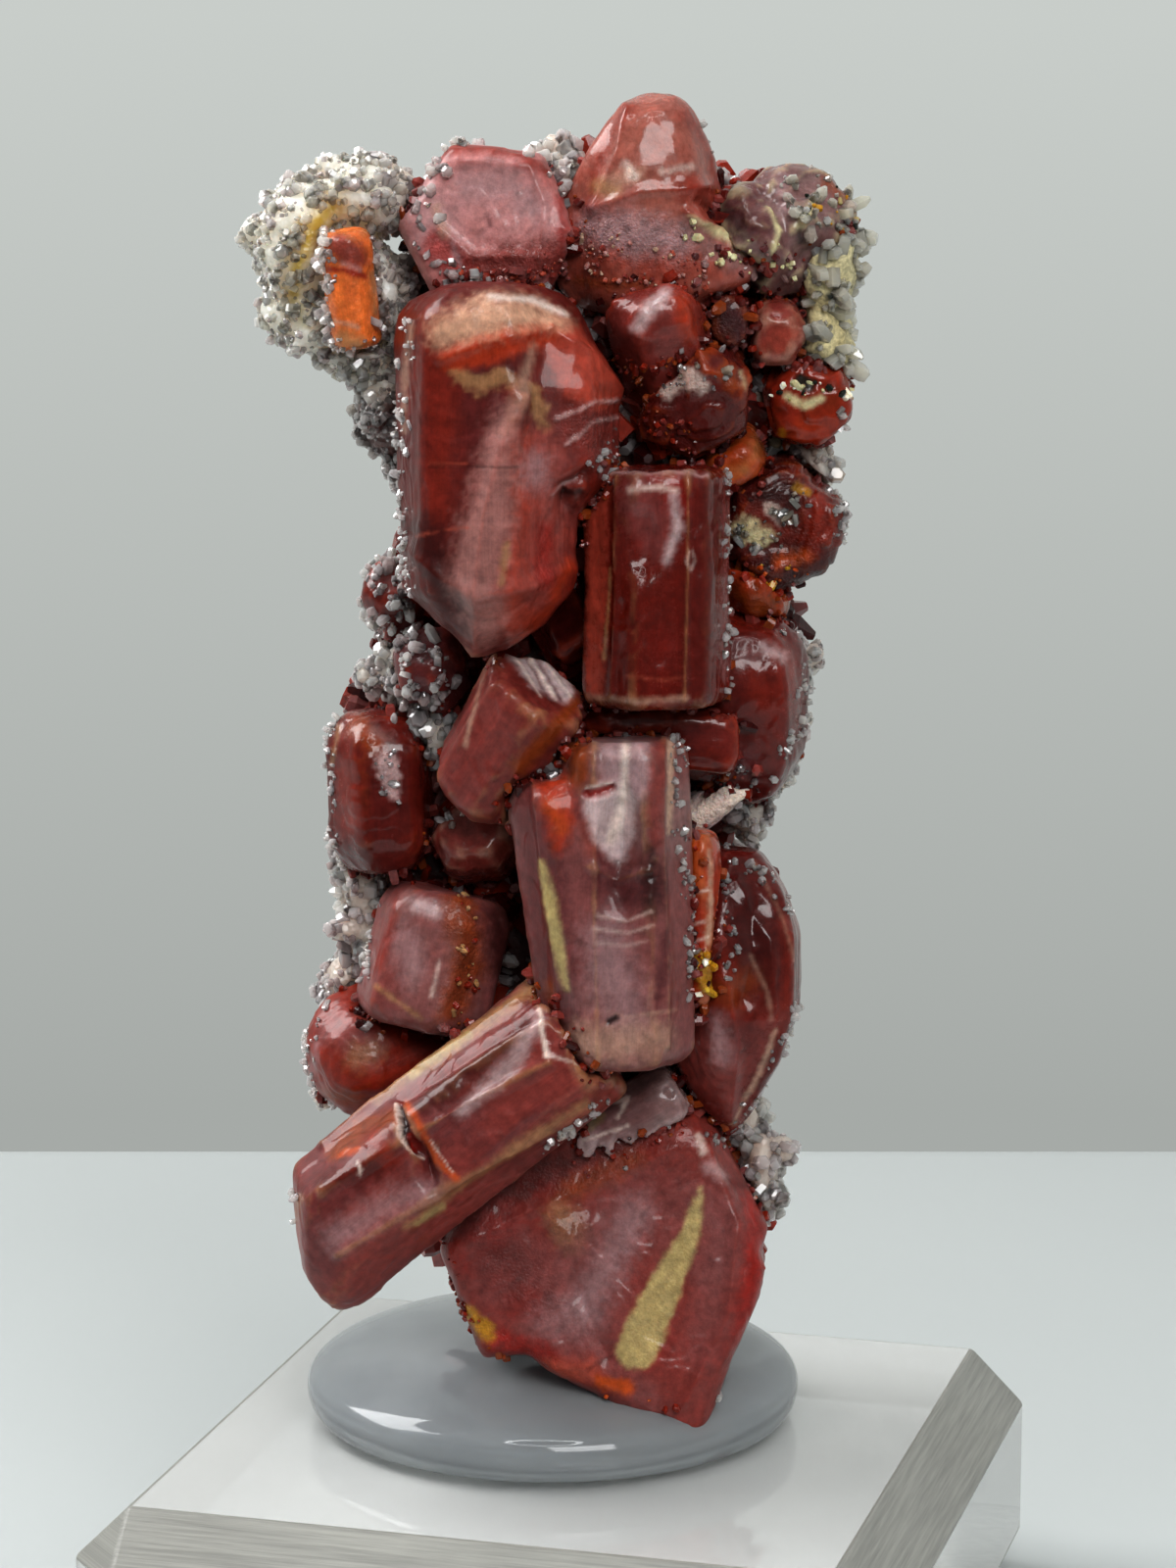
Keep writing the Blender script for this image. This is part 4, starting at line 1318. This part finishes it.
def make_seams(grains, materials, seed):
    """Small red and clear crystals along the seams where the large ones meet."""
    rng = np.random.default_rng(seed)
    solids = [n for n in frame["nodes"] if n not in ("acrylic_block", "gel_pad")]
    trees = {}
    for node in solids:
        mesh = frame["nodes"][node].data
        trees[node] = BVHTree.FromPolygons([v.co for v in mesh.vertices],
                                           [f.vertices for f in mesh.polygons])
    places, outward = [], []
    for node in (n for n in LOOKS if n != "orange_crystal_in_crust"):
        at, normals = spread_over(bpy.data.objects[node + "_surface"].data, SEAM_PER_MM2, rng,
                                  everywhere)
        metres = from_specimen(at)
        near = np.zeros(len(at), bool)
        for other in solids:
            low, high = (np.array(corner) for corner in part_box(other))
            reach = SEAM_REACH * MM
            close = ((metres > low - reach) & (metres < high + reach)).all(axis=1)
            for i in np.flatnonzero(close & ~near) if other != node else ():
                near[i] = trees[other].find_nearest(Vector(metres[i]), reach)[0] is not None
        places.append(at[near])
        outward.append(normals[near])
    places, outward = np.concatenate(places), np.concatenate(outward)
    clear = rough_noise(places, 2.0, seed) + rng.normal(scale=0.25, size=len(places)) > 0.5
    for name, chosen, colours, kind, slot in (
            ("seam_red_crystals", ~clear, (*RED_MIX, DARK_MAROON, MAUVE), "glossy", "dark_red_crystal"),
            ("seam_clear_crystals", clear, (SUGAR, PINK_SUGAR, GREY_MAUVE), "clear", "clear_crust")):
        piece = grow_grains(name, grains, places[chosen], outward[chosen], rng, 0.45, (0.14, 0.55),
                            (0.5, 1.3), colours)
        finish_piece(piece, materials[kind], smooth=False)


# The gel pad and the block

# The pad's outline from its foot to its crown: parts of its radius and of its height.
PAD_OUTLINE = ((0.0, 0.0), (0.8, 0.0), (0.93, 0.0), (0.965, 0.05), (0.99, 0.17), (1.0, 0.36),
               (0.985, 0.5), (0.94, 0.61), (0.866, 0.71), (0.766, 0.793), (0.643, 0.863),
               (0.5, 0.922), (0.342, 0.965), (0.174, 0.991), (0.0, 1.0))
PAD_STEPS = 96

# The bevels of the block and the small rounding where they meet its faces, in mm.
BLOCK_BEVEL = 2.2
BEVEL_ROUNDING = 0.12


def make_pad(material):
    """The gel pad, as a thick drop that has set: a disc with a round rim and a low crown, which
    is spun from its outline."""
    low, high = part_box("gel_pad")
    radius, thickness = (high.x - low.x) / 2, high.z - low.z
    mesh = bpy.data.meshes.new("gel_pad_drop")
    mesh.from_pydata([(radius * r, 0, low.z + thickness * h) for r, h in PAD_OUTLINE],
                     [(i, i + 1) for i in range(len(PAD_OUTLINE) - 1)], [])
    pad = new_object("gel_pad_drop", mesh)
    modify(pad, "SUBSURF", levels=2, render_levels=2)
    modify(pad, "SCREW", axis="Z", steps=PAD_STEPS, render_steps=PAD_STEPS, use_merge_vertices=True,
           merge_threshold=0.001 * MM)
    points = read_points(mesh) + np.array([(low.x + high.x) / 2, (low.y + high.y) / 2, 0])
    write_points(mesh, points)
    bpy.ops.object.mode_set(mode="EDIT")
    bpy.ops.mesh.select_all(action="SELECT")
    bpy.ops.mesh.normals_make_consistent(inside=False)
    bpy.ops.object.mode_set(mode="OBJECT")
    return finish_piece(pad, material, ["gel_pad"])


def make_block(materials):
    """The acrylic block: a slab with sawn bevels along its top and bottom edges."""
    low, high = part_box("acrylic_block")
    size = high - low
    block = new_box("acrylic_block_polished", (low + high) / 2, size)
    for edge in block.data.edges:
        a, b = (block.data.vertices[i].co for i in edge.vertices)
        edge.select = abs(a.z - b.z) < MM
    bpy.ops.object.mode_set(mode="EDIT")
    bpy.ops.mesh.select_mode(type="EDGE")
    bpy.ops.mesh.bevel(offset=BLOCK_BEVEL * MM, segments=1)
    bpy.ops.object.mode_set(mode="OBJECT")
    block.data.materials.append(materials["acrylic"])
    block.data.materials.append(materials["sawn"])
    for face in block.data.polygons:
        face.material_index = int(0.3 < abs(face.normal.z) < 0.9)
    modify(block, "BEVEL", width=BEVEL_ROUNDING * MM, segments=2, limit_method="ANGLE",
           angle_limit=math.radians(20), material=1)
    points = read_points(block.data)
    sideways = np.abs(points[:, 0]) > np.abs(points[:, 1])
    along = np.where(sideways[:, None], points[:, [1, 0, 2]], points) / MM
    write_attribute(block.data, "along", "FLOAT_VECTOR", along)
    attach(block, "root")
    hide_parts("acrylic_block")


# The stage

# The picture's own contrast, which is a little above a plain one.
PICTURE_EXPOSURE = 0.2
PICTURE_GAMMA = 0.85

# The table top in mm: its back and front edge, its width and thickness, and the gap under the block.
TABLE_EDGE = 83.0
TABLE_FRONT = -75.0
TABLE_WIDTH = 1200.0
TABLE_THICKNESS = 30.0
TABLE_GAP = 0.05


def make_table():
    """A pale table top whose back edge is what the picture shows behind the block."""
    material, _, shader = new_material("white_table_paint")
    set_sockets(shader, Base_Color=(*linear(TABLE_PAINT), 1), Roughness=0.5)
    depth = TABLE_EDGE - TABLE_FRONT
    middle = Vector((0, (TABLE_EDGE - depth / 2) * MM, -(TABLE_THICKNESS / 2 + TABLE_GAP) * MM))
    middle.rotate(Matrix.Rotation(SPECIMEN_TURN, 3, "Z"))
    table = new_box("table", middle, (TABLE_WIDTH * MM, depth * MM, TABLE_THICKNESS * MM),
                    SPECIMEN_TURN)
    modify(table, "BEVEL", width=8 * MM, segments=6)
    table.data.materials.append(material)
    table.data.shade_smooth()


# Square lamps that face the specimen: place in its frame, side in mm and power in watts.
SOFTBOXES = {
    "left_softbox": ((-230, 60, 260), 200, 1.1),
    "front_key": ((70, -250, 210), 150, 0.65),
}
SPECIMEN_MIDDLE = (0, 0, 35)


def add_softbox(name, place, size, watts):
    data = bpy.data.lights.new(name, "AREA")
    data.size = size * MM
    data.energy = watts
    light = new_object(name, data)
    light.location = from_specimen([place])[0]
    direction = Vector(from_specimen([SPECIMEN_MIDDLE])[0]) - light.location
    light.rotation_euler = direction.to_track_quat("-Z", "Y").to_euler()


# A ring lamp above the camera: its place, its two radii in mm and its strength.
RING_PLACE = (-18, -137, 325)
RING_RADII = (70, 7)
RING_STRENGTH = 12.0


def make_ring_lamp():
    """A ring lamp, whose reflection lies on the gel pad's front rim."""
    material = bpy.data.materials.new("ring_lamp_glow")
    material.use_nodes = True
    tree = material.node_tree
    tree.nodes.clear()
    glow = add_node(tree, "ShaderNodeEmission", strength=RING_STRENGTH)
    out = add_node(tree, "ShaderNodeOutputMaterial")
    tree.links.new(glow.outputs[0], out.inputs["Surface"])
    bpy.ops.object.select_all(action="DESELECT")
    bpy.ops.mesh.primitive_torus_add(major_radius=RING_RADII[0] * MM, minor_radius=RING_RADII[1] * MM,
                                     major_segments=48, minor_segments=12)
    ring = bpy.context.object
    ring.name = "ring_lamp"
    ring.location = from_specimen([RING_PLACE])[0]
    ring.rotation_euler = (-ring.location).to_track_quat("Z", "Y").to_euler()
    ring.data.materials.append(material)


def light_the_room():
    """Grey walls that are lighter overhead, and soft lamps above."""
    world = bpy.data.worlds.new("room")
    bpy.context.scene.world = world
    world.use_nodes = True
    tree = world.node_tree
    background = tree.nodes["Background"]
    normal = add_node(tree, "ShaderNodeTexCoord").outputs["Generated"]
    axes = add_node(tree, "ShaderNodeSeparateXYZ", vector=normal).outputs
    back = add_node(tree, "ShaderNodeMapRange", value=axes[1], from_min=-0.6, from_max=0.75,
                    to_min=0.29, to_max=0.98)
    height = add_node(tree, "ShaderNodeMapRange", value=axes[2], from_min=-0.26, from_max=-0.02,
                      to_min=0.7, to_max=1.0)
    strength = add_node(tree, "ShaderNodeMath", {"operation": "MULTIPLY"}, back.outputs[0],
                        height.outputs[0])
    background.inputs["Color"].default_value = (*linear(WALL_PAINT), 1)
    tree.links.new(strength.outputs[0], background.inputs["Strength"])
    for name, values in SOFTBOXES.items():
        add_softbox(name, *values)
    make_ring_lamp()


def make_camera():
    camera = new_object("camera", bpy.data.cameras.new("camera"))
    camera.location = from_specimen([CAMERA_PLACE])[0]
    camera.rotation_euler = (math.pi / 2 - CAMERA_TILT, 0, SPECIMEN_TURN)
    camera.data.sensor_width = SENSOR
    camera.data.lens = FOCAL_PIXELS * SENSOR / max(PICTURE_SIZE)
    camera.data.clip_start = 0.01
    bpy.context.scene.camera = camera


def main():
    view = bpy.context.scene.view_settings
    view.view_transform = "Standard"
    view.exposure, view.gamma = PICTURE_EXPOSURE, PICTURE_GAMMA
    materials = {
        "silky": vanadinite("vanadinite_silky", 0.3, 0.2, 0.25),
        "glossy": vanadinite("vanadinite_glossy", 0.18, 0.25, 0.4),
        "clear": clear_crystal("clear_crystal"),
        "cloudy": cloudy_crystal("cloudy_crystal"),
        "rock": rock("matrix_rock"),
        "acrylic": cast_acrylic("cast_acrylic"),
        "sawn": sawn_acrylic("sawn_acrylic"),
    }
    grains = [model_grain(name, *shape) for name, shape in GRAINS.items()]
    for seed, (node, crystal_look) in enumerate(LOOKS.items()):
        make_crystal(node, crystal_look, materials, 100 * seed)
    for seed, node in enumerate(CRUSTS):
        make_crust(node, grains, materials, 7000 + seed)
    make_matrix(grains, materials, 8000)
    make_bands(grains, materials, 9000)
    make_seams(grains, materials, 9500)
    make_pad(silicone_gel("silicone_gel"))
    make_block(materials)
    make_table()
    light_the_room()
    make_camera()


main()
